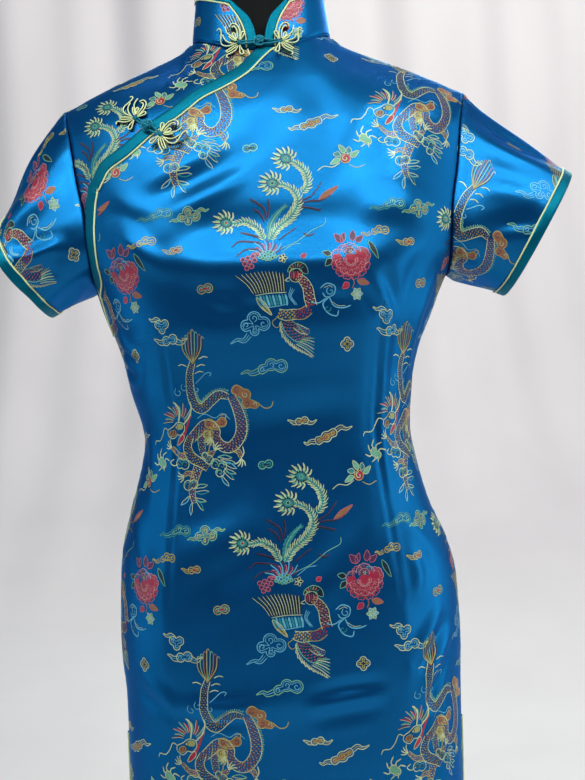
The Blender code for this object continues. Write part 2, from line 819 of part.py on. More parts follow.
# ---- dress form and stand ------------------------------------------------
def form_point(facing, across, up):
    """The form under the dress, with flat plates in place of arms."""
    u = 2 * across - 1
    armpit = FORM_ROWS_BELOW / (FORM_ROWS_BELOW + FORM_ROWS_ABOVE)
    if up <= armpit:
        z = mix(FORM_BOTTOM, ARMPIT_HEIGHT, up / armpit)
        inset = CLOTH + FORM_GAP + FORM_GAP_AT_ARMPIT * smooth(z, 1.06, ARMPIT_HEIGHT)
        x = (half_width(u, z) - inset) * math.sin(u * math.pi / 2)
    else:
        rise = (up - armpit) / (1 - armpit)
        climb = 1 - (1 - rise) ** ROW_CROWDING
        top = ridge_height(u * (SHOULDER_HALF - FORM_PLATE_BACK)) - CLOTH - FORM_GAP_AT_SHOULDER
        top -= FORM_GAP_AT_NECK * (1 - smooth(abs(u) * SHOULDER_HALF, 0.075, 0.115))
        z = mix(ARMPIT_HEIGHT, top, climb)
        inset = CLOTH + mix(FORM_GAP, FORM_GAP_AT_SHOULDER, smooth(rise, 0.5, 0.95))
        seam_z = mix(ARMPIT_HEIGHT, ridge_height(SHOULDER_HALF), climb)
        inset += FORM_GAP_AT_ARMPIT * (1 - smooth(rise, 0.2, 0.6))
        reach = ARMHOLE.at(seam_z, "half") - FORM_PLATE_BACK
        x = reach * mix(math.sin(u * math.pi / 2), u, smooth(rise, 0, 0.9))
        inset += FORM_GAP_AT_NECK * (1 - smooth(abs(x), 0.075, 0.115)) * smooth(rise, 0.4, 0.8)
    base = body_point(facing, x, z, inset)
    return Vector((x, facing * max(abs(base.y), 0.0015), z))


def build_form(collection):
    columns, rows = FORM_COLUMNS, FORM_ROWS_BELOW + FORM_ROWS_ABOVE
    bm = bmesh.new()
    loops = []
    for row in range(rows + 1):
        front = [form_point(-1, c / columns, row / rows) for c in range(columns + 1)]
        back = [form_point(1, c / columns, row / rows) for c in range(columns, -1, -1)]
        loops.append([bm.verts.new(place) for place in front + back])
    ring = len(loops[0])
    for low, high in zip(loops, loops[1:]):
        for k in range(ring):
            after = (k + 1) % ring
            bm.faces.new((low[k], low[after], high[after], high[k]))
    for side in range(columns):
        top = loops[-1]
        bm.faces.new((top[side], top[side + 1], top[ring - 2 - side], top[ring - 1 - side]))
    bm.faces.new(list(reversed(loops[0])))
    bmesh.ops.recalc_face_normals(bm, faces=bm.faces)
    torso = add_object("dress_form", bm, "form", collection)

    neck = (
        (1.365, 0.0530, 0.0460),
        (1.400, 0.0530, 0.0460),
        (1.445, 0.0515, 0.0450),
        (1.495, 0.0500, 0.0445),
        (1.513, 0.0480, 0.0425),
        (FORM_NECK_TOP, 0.0420, 0.0365),
    )
    bm = bmesh.new()
    segments, loops = 28, []
    for z, across, deep in neck:
        turns = [2 * math.pi * k / segments for k in range(segments)]
        loops.append(
            [bm.verts.new((across * math.cos(t), 0.002 + deep * math.sin(t), z)) for t in turns]
        )
    for low, high in zip(loops, loops[1:]):
        for k in range(segments):
            after = (k + 1) % segments
            bm.faces.new((low[k], low[after], high[after], high[k]))
    bm.faces.new(list(reversed(loops[0])))
    bm.faces.new(loops[-1])
    neck_tool = add_object("neck_tool", bm, "form", cutters())
    neck_tool.hide_render = True
    neck_tool.display_type = "WIRE"
    joined = torso.modifiers.new("neck", "BOOLEAN")
    joined.operation = "UNION"
    joined.solver = "EXACT"
    joined.object = neck_tool


def cutters():
    found = bpy.data.collections.get("cutters")
    if not found:
        found = bpy.data.collections.new("cutters")
        bpy.context.scene.collection.children.link(found)
    return found


def lathe(name, profile, segments, look, collection):
    """A turned solid: profile holds (radius, height) from the foot up, both ends capped."""
    bm = bmesh.new()
    loops = []
    for radius, z in profile:
        turns = [2 * math.pi * k / segments for k in range(segments)]
        loops.append([bm.verts.new((radius * math.cos(t), radius * math.sin(t), z)) for t in turns])
    for low, high in zip(loops, loops[1:]):
        for k in range(segments):
            after = (k + 1) % segments
            bm.faces.new((low[k], low[after], high[after], high[k]))
    bm.faces.new(list(reversed(loops[0])))
    bm.faces.new(loops[-1])
    return add_object(name, bm, look, collection)


def build_stand(collection):
    base = (
        (BASE_RADIUS - 0.002, 0.0),
        (BASE_RADIUS, 0.002),
        (BASE_RADIUS, BASE_HEIGHT - 0.003),
        (BASE_RADIUS - 0.003, BASE_HEIGHT),
        (0.032, BASE_HEIGHT + 0.002),
        (0.028, BASE_HEIGHT + 0.018),
        (0.024, BASE_HEIGHT + 0.022),
    )
    lathe("stand_base", base, 48, "steel", collection)
    foot, top = BASE_HEIGHT + 0.022 + 0.0003, FORM_BOTTOM - 0.0006 - 0.006
    lathe("pole", ((POLE_RADIUS, foot), (POLE_RADIUS, top)), 24, "steel", collection)
    plate = ((0.040, top + 0.0003), (0.045, top + 0.003), (0.045, top + 0.0063))
    lathe("pole_plate", plate, 32, "steel", collection)


def clear_scene():
    for old in list(bpy.data.objects):
        bpy.data.objects.remove(old)


def main():
    clear_scene()
    dress = bpy.data.collections.new("cheongsam_on_dress_form")
    bpy.context.scene.collection.children.link(dress)
    front, back = remembered(front_point), remembered(back_point)
    build_garment(front, back, dress)
    build_bindings(front, back, dress)
    build_frogs(dress)
    build_form(dress)
    build_stand(dress)


main()
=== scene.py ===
"""The looks of a brocade cheongsam on its dress form.

Metres, +Z up, +X towards the wearer's left, -Y is the front.
Each cloth is a surface with flat coordinates of its own. The fine shell, the woven figures, the
bindings and the cords are all laid out flat, in real sizes, and then placed on that surface.
"""

import math

import bmesh
import bpy
import numpy as np
from mathutils import Matrix, Vector


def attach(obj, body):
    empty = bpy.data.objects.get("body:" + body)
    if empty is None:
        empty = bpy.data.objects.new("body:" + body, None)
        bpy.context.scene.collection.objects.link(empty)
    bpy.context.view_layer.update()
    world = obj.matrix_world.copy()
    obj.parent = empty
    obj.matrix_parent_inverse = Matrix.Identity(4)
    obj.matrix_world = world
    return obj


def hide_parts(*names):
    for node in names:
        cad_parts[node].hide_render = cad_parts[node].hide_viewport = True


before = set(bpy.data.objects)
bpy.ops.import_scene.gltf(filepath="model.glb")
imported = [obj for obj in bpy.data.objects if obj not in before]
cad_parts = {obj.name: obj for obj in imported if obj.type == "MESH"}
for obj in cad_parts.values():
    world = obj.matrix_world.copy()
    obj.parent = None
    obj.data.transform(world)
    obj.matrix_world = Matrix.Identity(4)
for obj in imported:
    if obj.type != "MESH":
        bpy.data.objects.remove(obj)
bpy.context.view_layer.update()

MM = 0.001

# ---- the dress's own sizes, as the solids have them ------------------------
SEAM_GAP = 0.0003
CLOTH = 0.0015
LIFT_GAP = 0.0011
TAPE_WIDTH = 0.0100
OPENING_TAPE_WIDTH = 0.0125

HEM_HEIGHT = 0.440
ARMPIT_HEIGHT = 1.160
SLIT_TOP = 0.722
SLIT_PARTING = 0.010
NECK_HALF = 0.069
NECK_SIDE_HEIGHT = 1.400
NECK_FRONT_HEIGHT = 1.377
NECK_BACK_HEIGHT = 1.409
SHOULDER_HALF = 0.196
NECK_SWELL = 0.045
COLLAR_HEIGHT = 0.050
COLLAR_LEAN = 0.0065
COLLAR_CORNER = 0.024
COLLAR_OPENING = 0.0035
COLLAR_ROUNDING = 2.4  # how late the collar's front edges turn away
COLLAR_DROP = 0.006  # the collar is this much lower at its front ends
SECTION_POWER = 2.6
ARMPIT_ROW = 17 / 27
ROW_CROWDING = 1.75
FORM_BOTTOM = 0.660
POLE_RADIUS = 0.0125
BASE_RADIUS = 0.175
BASE_HEIGHT = 0.012

SHOULDER_ROUNDING = (0.075, 0.055)  # its radius by the neck and at the shoulder's end
SHOULDER_BAND = (0.07, 0.19)
DRAWN_BAND = (1.11, 1.16)  # heights between which the opening's side leaves the side seam
OPEN_FROM = 1.1205  # the opening's binding starts here, on the side seam
FLAP_FRONT = 0.020  # how far the flap passes the middle of the neckline
LIFT_FADE = (0.036, 0.075)  # the front lies flat on the body again past this band
LIFT_RISE = (1.115, 1.150)  # and below this one
CREASE_SPREAD = 0.026

# ---- sizes of what only the looks have ------------------------------------
SHELL = 0.0009  # thickness of the fine cloth
FIGURE_LIFT = 0.00013  # the woven figures stand this far off the ground weave
LAYER_LIFT = 0.00006  # and each layer of threads this far off the one below
CORD_RADIUS = 0.00085
FLOAT_PITCH = 0.00095  # distance between two weft floats in a filled figure
REPEAT_WIDE, REPEAT_HIGH = 0.212, 0.288  # the brocade's repeat
COVERED = 0.93  # share of a binding's width that hides the ground weave


def in_metres(rows):
    return np.array(rows, float) / 1000


class Table:
    """Rows of named columns in mm, read in metres with a smooth curve along the first column."""

    def __init__(self, columns, *rows):
        self.columns = columns.split()
        self.rows = in_metres(rows)

    def at(self, key, name):
        keys, values = self.rows[:, 0], self.rows[:, self.columns.index(name)]
        steps = np.diff(values) / np.diff(keys)
        before, after = steps[:-1], steps[1:]
        total = np.where(before * after > 0, before + after, 1.0)
        turning = np.where(before * after > 0, 2 * before * after / total, 0.0)
        slopes = np.concatenate(([0.0], turning, [0.0]))
        key = np.clip(key, keys[0], keys[-1])
        i = np.clip(np.searchsorted(keys, key, side="right") - 1, 0, len(keys) - 2)
        span = keys[i + 1] - keys[i]
        t = (key - keys[i]) / span
        rise = t * t * (3 - 2 * t)
        bend = slopes[i] * t * (1 - t) ** 2 - slopes[i + 1] * t * t * (1 - t)
        return values[i] * (1 - rise) + values[i + 1] * rise + bend * span


# Half widths and depths of the dress at each height, from the side line.
BODY = Table(
    "height right_half left_half front_depth back_depth",
    (440, 150, 150, 100, 98), (550, 158, 158, 103, 103), (660, 165, 164, 107, 109),
    (760, 164.5, 166.8, 111, 117), (810, 167.5, 168.8, 113, 120), (865, 165.5, 167.2, 112, 117),
    (900, 162.2, 159.5, 109, 109), (940, 152.5, 143.5, 104, 96), (985, 139, 132.7, 99, 83),
    (1010, 134.8, 129, 98, 80), (1060, 146.2, 133.5, 108, 86), (1090, 152, 141, 117, 90),
    (1120, 161.2, 154, 125, 95), (1160, 172, 172, 127, 100), (1180, 188, 188, 124, 102),
    (1210, 201.5, 201.5, 119, 104), (1260, 207, 207, 107, 105), (1300, 209, 209, 95, 101),
    (1343, 212, 212, 76, 92), (1377, 214, 214, 58, 80), (1410, 216, 216, 50, 66),
)
# The shoulder seam, out from the neckline.
SHOULDER = Table(
    "half height",
    (69, 1400), (80, 1392), (105, 1380.5), (140, 1366), (170, 1352.5), (196, 1342.5),
)
# The armhole seam: how far out the body panels reach at each height.
ARMHOLE = Table(
    "height half",
    (1160, 172), (1180, 170), (1220, 172.5), (1260, 180.5), (1300, 187), (1342.5, 196),
)
# The front's curved opening edge, from the armpit up to the middle of the neckline.
OPENING = Table(
    "across height",
    (-165, 1252), (-152, 1271), (-131, 1284), (-108, 1302), (-84, 1317), (-62, 1334), (-42, 1344),
    (-22, 1356), (0, 1377),
)
OPENING_SIDE = Table(
    "height half", (1160, 169), (1180, 167), (1215, 169), (1235, 168), (1252, 165)
)
OPENING_CORNER = (0.1650, 1.2520)
# The under flap's hidden lower edge, beneath the front.
FLAP_LOW = Table(
    "across height",
    (-171, 1166), (-160, 1178), (-148, 1210), (-135, 1240), (-115, 1268), (-90, 1284),
    (-65, 1302), (-42, 1317), (-20, 1329), (0, 1340), (20, 1352),
)
# The lengthwise creases where the front turns to the side.
CREASE = Table(
    "height right_at left_at rise",
    (440, 100, 100, 1.5), (640, 115, 108, 3.5), (860, 114, 108, 4.5), (960, 102, 96, 3),
    (1060, 96, 90, 0),
)
# The largest soft folds: place across and height, turn in degrees, length, width and rise.
FOLDS = (
    (-60, 768, 4, 85, 16, 3.5), (20, 865, 38, 50, 18, 2.2), (-75, 905, 28, 55, 18, 2.5),
    (132, 815, 62, 60, 14, 3.0), (-50, 1235, 33, 70, 18, 2.2), (-95, 1205, 20, 55, 16, 2.0),
    (145, 1190, 72, 50, 14, -2.2), (-140, 1120, 35, 30, 12, -2.5),
)

# Each sleeve: the cuff's top and foot as seen from the front, and its other sizes.
SLEEVES = {
    "right": {
        "side": -1, "cuff_top": (0.262, 1.232), "cuff_foot": (0.224, 1.138),
        "half_depth": 0.058, "bulge": 0.013, "skew": 0.7, "tuck": 0.007,
        "leave_top": (0.74, -0.67), "leave_foot": (0.93, -0.36),
    },
    "left": {
        "side": 1, "cuff_top": (0.300, 1.253), "cuff_foot": (0.231, 1.138),
        "half_depth": 0.056, "bulge": -0.002, "skew": 0.0, "tuck": 0.0,
        "leave_top": (0.58, -0.81), "leave_foot": (0.93, -0.36),
    },
}


# ---- small sums on arrays --------------------------------------------------
def smooth(value, low, high):
    """0 below low, 1 above high, and an even turn between them."""
    t = np.clip((value - low) / (high - low), 0.0, 1.0)
    return t * t * (3 - 2 * t)


def mix(first, second, share):
    return first + (second - first) * share


def places(x, y, z):
    return np.stack(np.broadcast_arrays(x, y, z), axis=-1).astype(float)


def unit(vectors):
    length = np.linalg.norm(vectors, axis=-1, keepdims=True)
    return vectors / np.where(length < 1e-12, 1.0, length)


def along_of(points):
    """Distance along a line of points."""
    return np.concatenate(([0.0], np.cumsum(np.linalg.norm(np.diff(points, axis=0), axis=1))))


def resampled(points, pitch):
    """The same line with evenly spread points about one pitch apart."""
    run = along_of(points)
    count = max(2, int(math.ceil(run[-1] / pitch)) + 1)
    stops = np.linspace(0, run[-1], count)
    return np.stack([np.interp(stops, run, points[:, k]) for k in range(points.shape[1])], axis=1)


def curve_through(points, pitch, closed=False):
    """Points about one pitch apart along a smooth curve through the given ones."""
    p = np.asarray(points, float)
    if len(p) == 2 and not closed:
        return resampled(p, pitch)
    if closed:
        p = np.vstack((p[-1], p, p[0], p[1]))
    else:
        p = np.vstack((2 * p[0] - p[1], p, 2 * p[-1] - p[-2]))
    pieces = []
    for a, b, c, d in zip(p, p[1:], p[2:], p[3:]):
        count = max(1, int(math.ceil(np.linalg.norm(c - b) / pitch)))
        t = (np.arange(count) / count)[:, None]
        bend = (2 * a - 5 * b + 4 * c - d) * t**2 + (3 * b - a - 3 * c + d) * t**3
        pieces.append(0.5 * (2 * b + (c - a) * t + bend))
    pieces.append(p[-2][None])
    return np.vstack(pieces)


def distance_to(line, u, v):
    """Nearest distance from every (u, v) to a line of points, and how far along that is, 0 to 1."""
    nearest, share = np.full(np.shape(u), 1.0), np.zeros(np.shape(u))
    run = along_of(line)
    for k in range(len(line) - 1):
        ax, ay = line[k]
        dx, dy = line[k + 1] - line[k]
        t = np.clip(((u - ax) * dx + (v - ay) * dy) / (dx * dx + dy * dy), 0, 1)
        away = np.hypot(u - ax - dx * t, v - ay - dy * t)
        closer = away < nearest
        share = np.where(closer, (run[k] + (run[k + 1] - run[k]) * t) / run[-1], share)
        nearest = np.where(closer, away, nearest)
    return nearest, share


def read_grid(table, row, column):
    """The table's value between its rows and columns."""
    row = np.clip(row, 0, table.shape[0] - 1.000001)
    column = np.clip(column, 0, table.shape[1] - 1.000001)
    i, j = row.astype(int), column.astype(int)
    a, b = row - i, column - j
    low = table[i, j] * (1 - b) + table[i, j + 1] * b
    high = table[i + 1, j] * (1 - b) + table[i + 1, j + 1] * b
    return low * (1 - a) + high * a


# ---- the body surface, as in the solids ------------------------------------
def half_width(x, z):
    return np.where(x >= 0, BODY.at(z, "left_half"), BODY.at(z, "right_half"))


def ridge_height(x):
    neck = NECK_SIDE_HEIGHT + NECK_SWELL * (1 - (x / NECK_HALF) ** 2)
    return np.where(np.abs(x) >= NECK_HALF, SHOULDER.at(np.abs(x), "height"), neck)


def shoulder_end():
    """Height of the shoulder seam's outer end."""
    return float(ridge_height(np.array(SHOULDER_HALF)))


def rounding_radius(x):
    return mix(*SHOULDER_ROUNDING, smooth(np.abs(x), *SHOULDER_BAND))


def shoulder_round(x, z):
    below = np.clip((ridge_height(x) - z) / rounding_radius(x), 0, 1)
    return np.sqrt(np.maximum(0.0, 1 - (1 - below) ** 2))


def crease(x, z):
    at = np.where(x >= 0, CREASE.at(z, "left_at"), CREASE.at(z, "right_at"))
    return CREASE.at(z, "rise") * np.exp(-np.abs(np.abs(x) - at) / CREASE_SPREAD)


def folds(x, z):
    total = 0.0
    for across, height, turn, length, width, rise in FOLDS:
        c, s = math.cos(math.radians(turn)), math.sin(math.radians(turn))
        across, height, length, width, rise = in_metres((across, height, length, width, rise))
        along = (x - across) * c + (z - height) * s
        aside = (z - height) * c - (x - across) * s
        total = total + rise * np.exp(-((along / length) ** 2) - (aside / width) ** 2)
    return total


def body_point(facing, x, z, inset=0.0, plain=False):
    half = half_width(x, z) - inset
    section = np.sqrt(np.maximum(0.0, 1 - np.minimum(1.0, np.abs(x) / half) ** SECTION_POWER))
    depth = BODY.at(z, "front_depth" if facing < 0 else "back_depth") - inset
    if facing < 0 and not plain:
        depth = depth + (crease(x, z) + folds(x, z)) * section
    return places(x, facing * depth * section * shoulder_round(x, z + inset), z)


def neckline_height(facing, x):
    middle = NECK_FRONT_HEIGHT if facing < 0 else NECK_BACK_HEIGHT
    return mix(middle, NECK_SIDE_HEIGHT, np.clip(np.abs(x) / NECK_HALF, 0, 1) ** 2)


def top_height(facing, x):
    return np.where(np.abs(x) < NECK_HALF, neckline_height(facing, x), ridge_height(x))


def opening_line():
    upright = np.stack((-OPENING_SIDE.rows[:, 1], OPENING_SIDE.rows[:, 0]), axis=1)
    return np.vstack((upright, OPENING.rows[1:]))


def front_lift(x, z):
    away, _ = distance_to(opening_line(), x, z)
    near = 1 - smooth(away, *LIFT_FADE)
    return (CLOTH + LIFT_GAP) * near * smooth(z, *LIFT_RISE)


# ---- cloths ----------------------------------------------------------------
class Cloth:
    """A surface with its own two parameters (p, q) and flat coordinates (u, v) in metres.

    base() gives the plain surface, relief() how far the cloth stands off it, and unroll() and
    reroll() turn parameters to flat places and back."""

    step = (0.002, 0.0006)
    turned = 1  # the side of the surface that is the cloth's face

    def normal(self, p, q):
        dp, dq = self.step
        aside = self.base(p + dp, q) - self.base(p - dp, q)
        upward = self.base(p, q + dq) - self.base(p, q - dq)
        return unit(np.cross(aside, upward)) * self.turned

    @property
    def grain(self):
        """Where the pattern's right and up lie, each as a flat (u, v) direction."""
        return np.array(((self.turned, 0.0), (0.0, 1.0)))

    def place(self, p, q, lift=0.0):
        total = self.relief(p, q) + lift
        return self.keep(self.base(p, q) + self.normal(p, q) * np.asarray(total)[..., None])

    def keep(self, point):
        return point

    def lay(self, u, v, lift=0.0):
        return self.place(*self.reroll(u, v), lift)


def gaussian(distance, width):
    return np.exp(-((distance / width) ** 2))


WRINKLE_PITCH = 0.012
HOLLOW_AT, HOLLOW_DEPTH = 1.9, 0.35  # of a crease's half width and rise


def wrinkled(wrinkles, u, v):
    """The summed height of soft creases: each a ridge, or a trough where rise is below 0, along its
    own line, with a shallow hollow beside it, fading out at its ends."""
    total = np.zeros(np.shape(u))
    for line, width, rise in wrinkles:
        width, rise = width / 1000, rise / 1000
        away, share = distance_to(curve_through(in_metres(line), WRINKLE_PITCH), u, v)
        fade = np.sin(np.pi * np.clip(0.08 + 0.84 * share, 0, 1)) ** 0.8
        hollow = HOLLOW_DEPTH * gaussian(away - HOLLOW_AT * width, width)
        total += rise * fade * (gaussian(away, width) - hollow)
    return total


def seam_roll(distance, depth=0.0009, reach=0.0024):
    """How far a cloth's edge turns down into a seam."""
    return -depth * np.exp(-np.maximum(distance, 0) / reach)


def puckers(distance, along, height, pitch, reach, phase=0.0):
    """Small gathers across a seam, fading away from it."""
    wave = np.sin(2 * np.pi * along / pitch + phase + 1.3 * np.sin(along * 41.0 + phase))
    swell = 0.6 + 0.4 * np.sin(along * 23.0 + 2 * phase)
    return height * wave * swell * np.exp(-np.maximum(distance, 0) / reach)


# The woven figures stop this far short of a cloth's sides, and of the neckline and shoulder.
EDGE_MARGIN, TOP_MARGIN = 0.0004, 0.0010


class BodyCloth(Cloth):
    """The front, back or under flap: p runs -1 to 1 across the half widths, q is the height."""

    HEIGHTS = np.linspace(0.43, 1.42, 199)
    MIDDLE = 80  # the middle one of the places in ACROSS, and the last one in CLIMB
    ACROSS = np.linspace(-1, 1, 2 * MIDDLE + 1)
    OUTMOST, OUT_PITCH = 0.31, 0.001
    OUT = np.linspace(-OUTMOST, OUTMOST, 621)
    RISE_FROM = 1.25  # flat heights follow the shoulder's curve above this one
    FIRST_GUESS = 1.33  # of the height of a flat place up there
    SIDES = np.linspace(0, 0.21, 43)
    CLIMB = np.linspace(0, 1, MIDDLE + 1)

    def __init__(self, facing, wrinkles, opened=False):
        self.facing, self.wrinkles, self.opened = facing, wrinkles, opened
        self.turned = -facing
        z, a = np.meshgrid(self.HEIGHTS, self.ACROSS, indexing="ij")
        x = self.x_of(a, z)
        line = body_point(facing, x, z, plain=True)
        line[..., 1] /= np.maximum(shoulder_round(x, z), 0.35)
        run = self.runs_along(line)
        self.girth = run - run[:, self.MIDDLE : self.MIDDLE + 1]
        self.back = np.array([np.interp(self.OUT, row, self.ACROSS) for row in self.girth])
        self.reach = np.array([(row[0], row[-1]) for row in self.girth])
        tops = ridge_height(self.SIDES)
        heights = mix(self.RISE_FROM, tops[:, None], self.CLIMB[None, :])
        side = body_point(facing, self.SIDES[:, None] + 0 * heights, heights, plain=True)
        self.climb = self.runs_along(side[..., 1:])

    @staticmethod
    def runs_along(rows):
        """Distance along each row of points from its start."""
        steps = np.linalg.norm(np.diff(rows, axis=1), axis=2)
        return np.concatenate((np.zeros((len(rows), 1)), np.cumsum(steps, axis=1)), axis=1)

    @staticmethod
    def x_of(a, z):
        return half_width(a, z) * np.sin(a * np.pi / 2)

    @staticmethod
    def a_of(x, z):
        return np.arcsin(np.clip(x / half_width(x, z), -1, 1)) * 2 / np.pi

    def row_of(self, z):
        return (z - self.HEIGHTS[0]) / (self.HEIGHTS[1] - self.HEIGHTS[0])

    def flat_of(self, x, z):
        return self.unroll(self.a_of(x, z), z)

    def unroll(self, a, z):
        a, z = np.broadcast_arrays(np.asarray(a, float), np.asarray(z, float))
        u = self.girth_at(z, a)
        x = np.abs(self.x_of(a, z))
        column = x / self.SIDES[1]
        share = (z - self.RISE_FROM) / (ridge_height(x) - self.RISE_FROM)
        up = read_grid(self.climb, column, np.clip(share, 0, 1) * self.MIDDLE)
        return u, np.where(z > self.RISE_FROM, self.RISE_FROM + up, z)

    def reroll(self, u, v):
        u, v = np.broadcast_arrays(np.asarray(u, float), np.asarray(v, float))
        z = np.minimum(v, self.FIRST_GUESS)
        for _ in range(4):
            x = np.abs(self.x_of(self.across_at(z, u), z))
            z = np.where(v > self.RISE_FROM, self.height_at(x, v - self.RISE_FROM), v)
        return self.across_at(z, u), z

    def girth_at(self, z, a):
        """Flat distance from the middle out to a at a height; a of -1 or 1 gives the side edge."""
        return read_grid(self.girth, self.row_of(z), (a + 1) * self.MIDDLE)

    def across_at(self, z, u):
        return read_grid(self.back, self.row_of(z), (u + self.OUTMOST) / self.OUT_PITCH)

    def height_at(self, x, up):
        """The height reached by climbing up the surface above RISE_FROM, in the plane at x."""
        column = x / self.SIDES[1]
        low, high = np.zeros(np.shape(x)), np.ones(np.shape(x))
        for _ in range(16):
            middle = (low + high) / 2
            short = read_grid(self.climb, column, middle * self.MIDDLE) < up
            low, high = np.where(short, middle, low), np.where(short, high, middle)
        return mix(self.RISE_FROM, ridge_height(x), low)

    def base(self, a, z):
        return body_point(self.facing, self.x_of(a, z), z)

    def side_distance(self, a, z):
        """Flat distance to the nearer side edge: the side seam, the armhole or the opening."""
        side = np.abs(self.girth_at(z, np.where(a < 0, -1.0, 1.0)) - self.girth_at(z, a))
        x = self.x_of(a, z)
        armhole = (ARMHOLE.at(z, "half") - np.abs(x)) * 1.2
        return np.where(z > ARMPIT_HEIGHT, np.minimum(side, armhole), side)

    def relief(self, a, z):
        u, v = self.unroll(a, z)
        total = wrinkled(self.wrinkles, u, v)
        side = self.side_distance(a, z)
        open_side = (a < 0) & self.opened & (z > DRAWN_BAND[0])
        seam = seam_roll(side) + puckers(side, v, 0.00035, 0.013, 0.010, self.facing + (a > 0))
        total = total + np.where(open_side, 0.0, seam)
        total = total + seam_roll((top_height(self.facing, self.x_of(a, z)) - z) * 1.6) * (v > 1.27)
        if self.opened:
            total = total + front_lift(self.x_of(a, z), z)
        return total

    def keep(self, point):
        edge = self.facing * SEAM_GAP / 2
        if self.facing < 0:
            point[..., 1] = np.minimum(point[..., 1], edge)
        else:
            point[..., 1] = np.maximum(point[..., 1], edge)
        return point

    def place(self, a, z, lift=0.0):
        point = super().place(a, z, lift)
        edge = smooth(np.abs(a), 0.55, 1.0)
        open_share = smooth(SLIT_TOP - z, 0.0, SLIT_TOP - HEM_HEIGHT)
        point[..., 1] += self.facing * SLIT_PARTING * open_share * edge
        return self.keep(point)

    def inside(self, u, v):
        """Where the ground weave shows: short of every seam and binding."""
        a, z = self.reroll(u, v)
        x = self.x_of(a, z)
        side = np.abs(self.girth_at(z, np.where(u < 0, -1.0, 1.0))) - np.abs(u)
        shown = (side > EDGE_MARGIN) & (v > HEM_HEIGHT + TAPE_WIDTH - EDGE_MARGIN)
        shown &= (z > SLIT_TOP) | (side > TAPE_WIDTH - EDGE_MARGIN)
        shown &= (z < ARMPIT_HEIGHT) | (np.abs(x) < ARMHOLE.at(z, "half") - EDGE_MARGIN)
        shown &= z < top_height(self.facing, x) - TOP_MARGIN
        return shown & self.also_inside(x, z)

    def also_inside(self, x, z):
        if not self.opened:
            return np.ones(np.shape(x), bool)
        away, _ = distance_to(opening_line(), x, z)
        under = (z < OPENING.at(x, "height")) & (x > -OPENING_SIDE.at(z, "half"))
        clear, below = away > OPENING_TAPE_WIDTH * COVERED, z < OPEN_FROM
        return ((x > 0) | below | (under & clear)) & ((x > 0.02) | clear | below)


class FlapCloth(BodyCloth):
    """The under flap shows only above the opening."""

    def relief(self, a, z):
        return super().relief(a, z) * smooth(z, 1.20, 1.23)

    def also_inside(self, x, z):
        away, _ = distance_to(opening_line(), x, z)
        above = (z > OPENING.at(x, "height")) | (x < -OPENING_SIDE.at(z, "half"))
        return above & (x < 0) & (away > 0.0006)


def drawn_in(z):
    """How far the front's open side lies in from the side seam."""
    return (ARMHOLE.at(z, "half") - OPENING_SIDE.at(z, "half")) * smooth(z, *DRAWN_BAND)


def spread(start, stop, columns, rows):
    """A grid of even places across from start to stop, and up from 0 to 1."""
    across, up = np.linspace(start, stop, columns + 1), np.linspace(0, 1, rows + 1)
    return np.meshgrid(across, up, indexing="ij")


def panel_grid(facing, columns, rows, opened=False):
    """(p, q) of a panel's grid: columns left to right as worn from its own face, rows up."""
    across, up = spread(-1, 1, columns, rows)
    open_side = opened & (across < 0)
    z_low = mix(HEM_HEIGHT, ARMPIT_HEIGHT, up / ARMPIT_ROW)
    reach_low = np.where(across >= 0, BODY.at(z_low, "left_half"), BODY.at(z_low, "right_half"))
    x_low = (reach_low - open_side * drawn_in(z_low)) * np.sin(across * np.pi / 2)
    rise = np.clip((up - ARMPIT_ROW) / (1 - ARMPIT_ROW), 0, 1)
    climb = 1 - (1 - rise) ** ROW_CROWDING
    shoulder = shoulder_end()
    tip = np.where(open_side, OPENING_CORNER[0], SHOULDER_HALF)
    tip_height = np.where(open_side, OPENING_CORNER[1], shoulder)
    top = np.where(open_side, OPENING.at(across * tip, "height"), top_height(facing, across * tip))
    z_high = mix(ARMPIT_HEIGHT, top, climb)
    seam = mix(ARMPIT_HEIGHT, tip_height, climb)
    reach = np.where(open_side, OPENING_SIDE.at(seam, "half"), ARMHOLE.at(seam, "half"))
    x_high = reach * mix(np.sin(across * np.pi / 2), across, smooth(rise, 0.0, 0.9))
    low = up <= ARMPIT_ROW
    x, z = np.where(low, x_low, x_high), np.where(low, z_low, z_high)
    return BodyCloth.a_of(x, z), z


def flap_grid(columns, rows):
    share, up = spread(0, 1, columns, rows)
    rise = 1 - (1 - up) ** ROW_CROWDING
    low_end = FLAP_LOW.rows[0]
    low_x = mix(FLAP_FRONT, low_end[0], share)
    top_x = mix(FLAP_FRONT, -SHOULDER_HALF, share)
    z = mix(FLAP_LOW.at(low_x, "height"), top_height(-1, top_x), rise)
    seam_z = mix(low_end[1], shoulder_end(), rise)
    x = mix(FLAP_FRONT, -ARMHOLE.at(seam_z, "half"), share)
    return BodyCloth.a_of(x, z)[::-1], z[::-1]


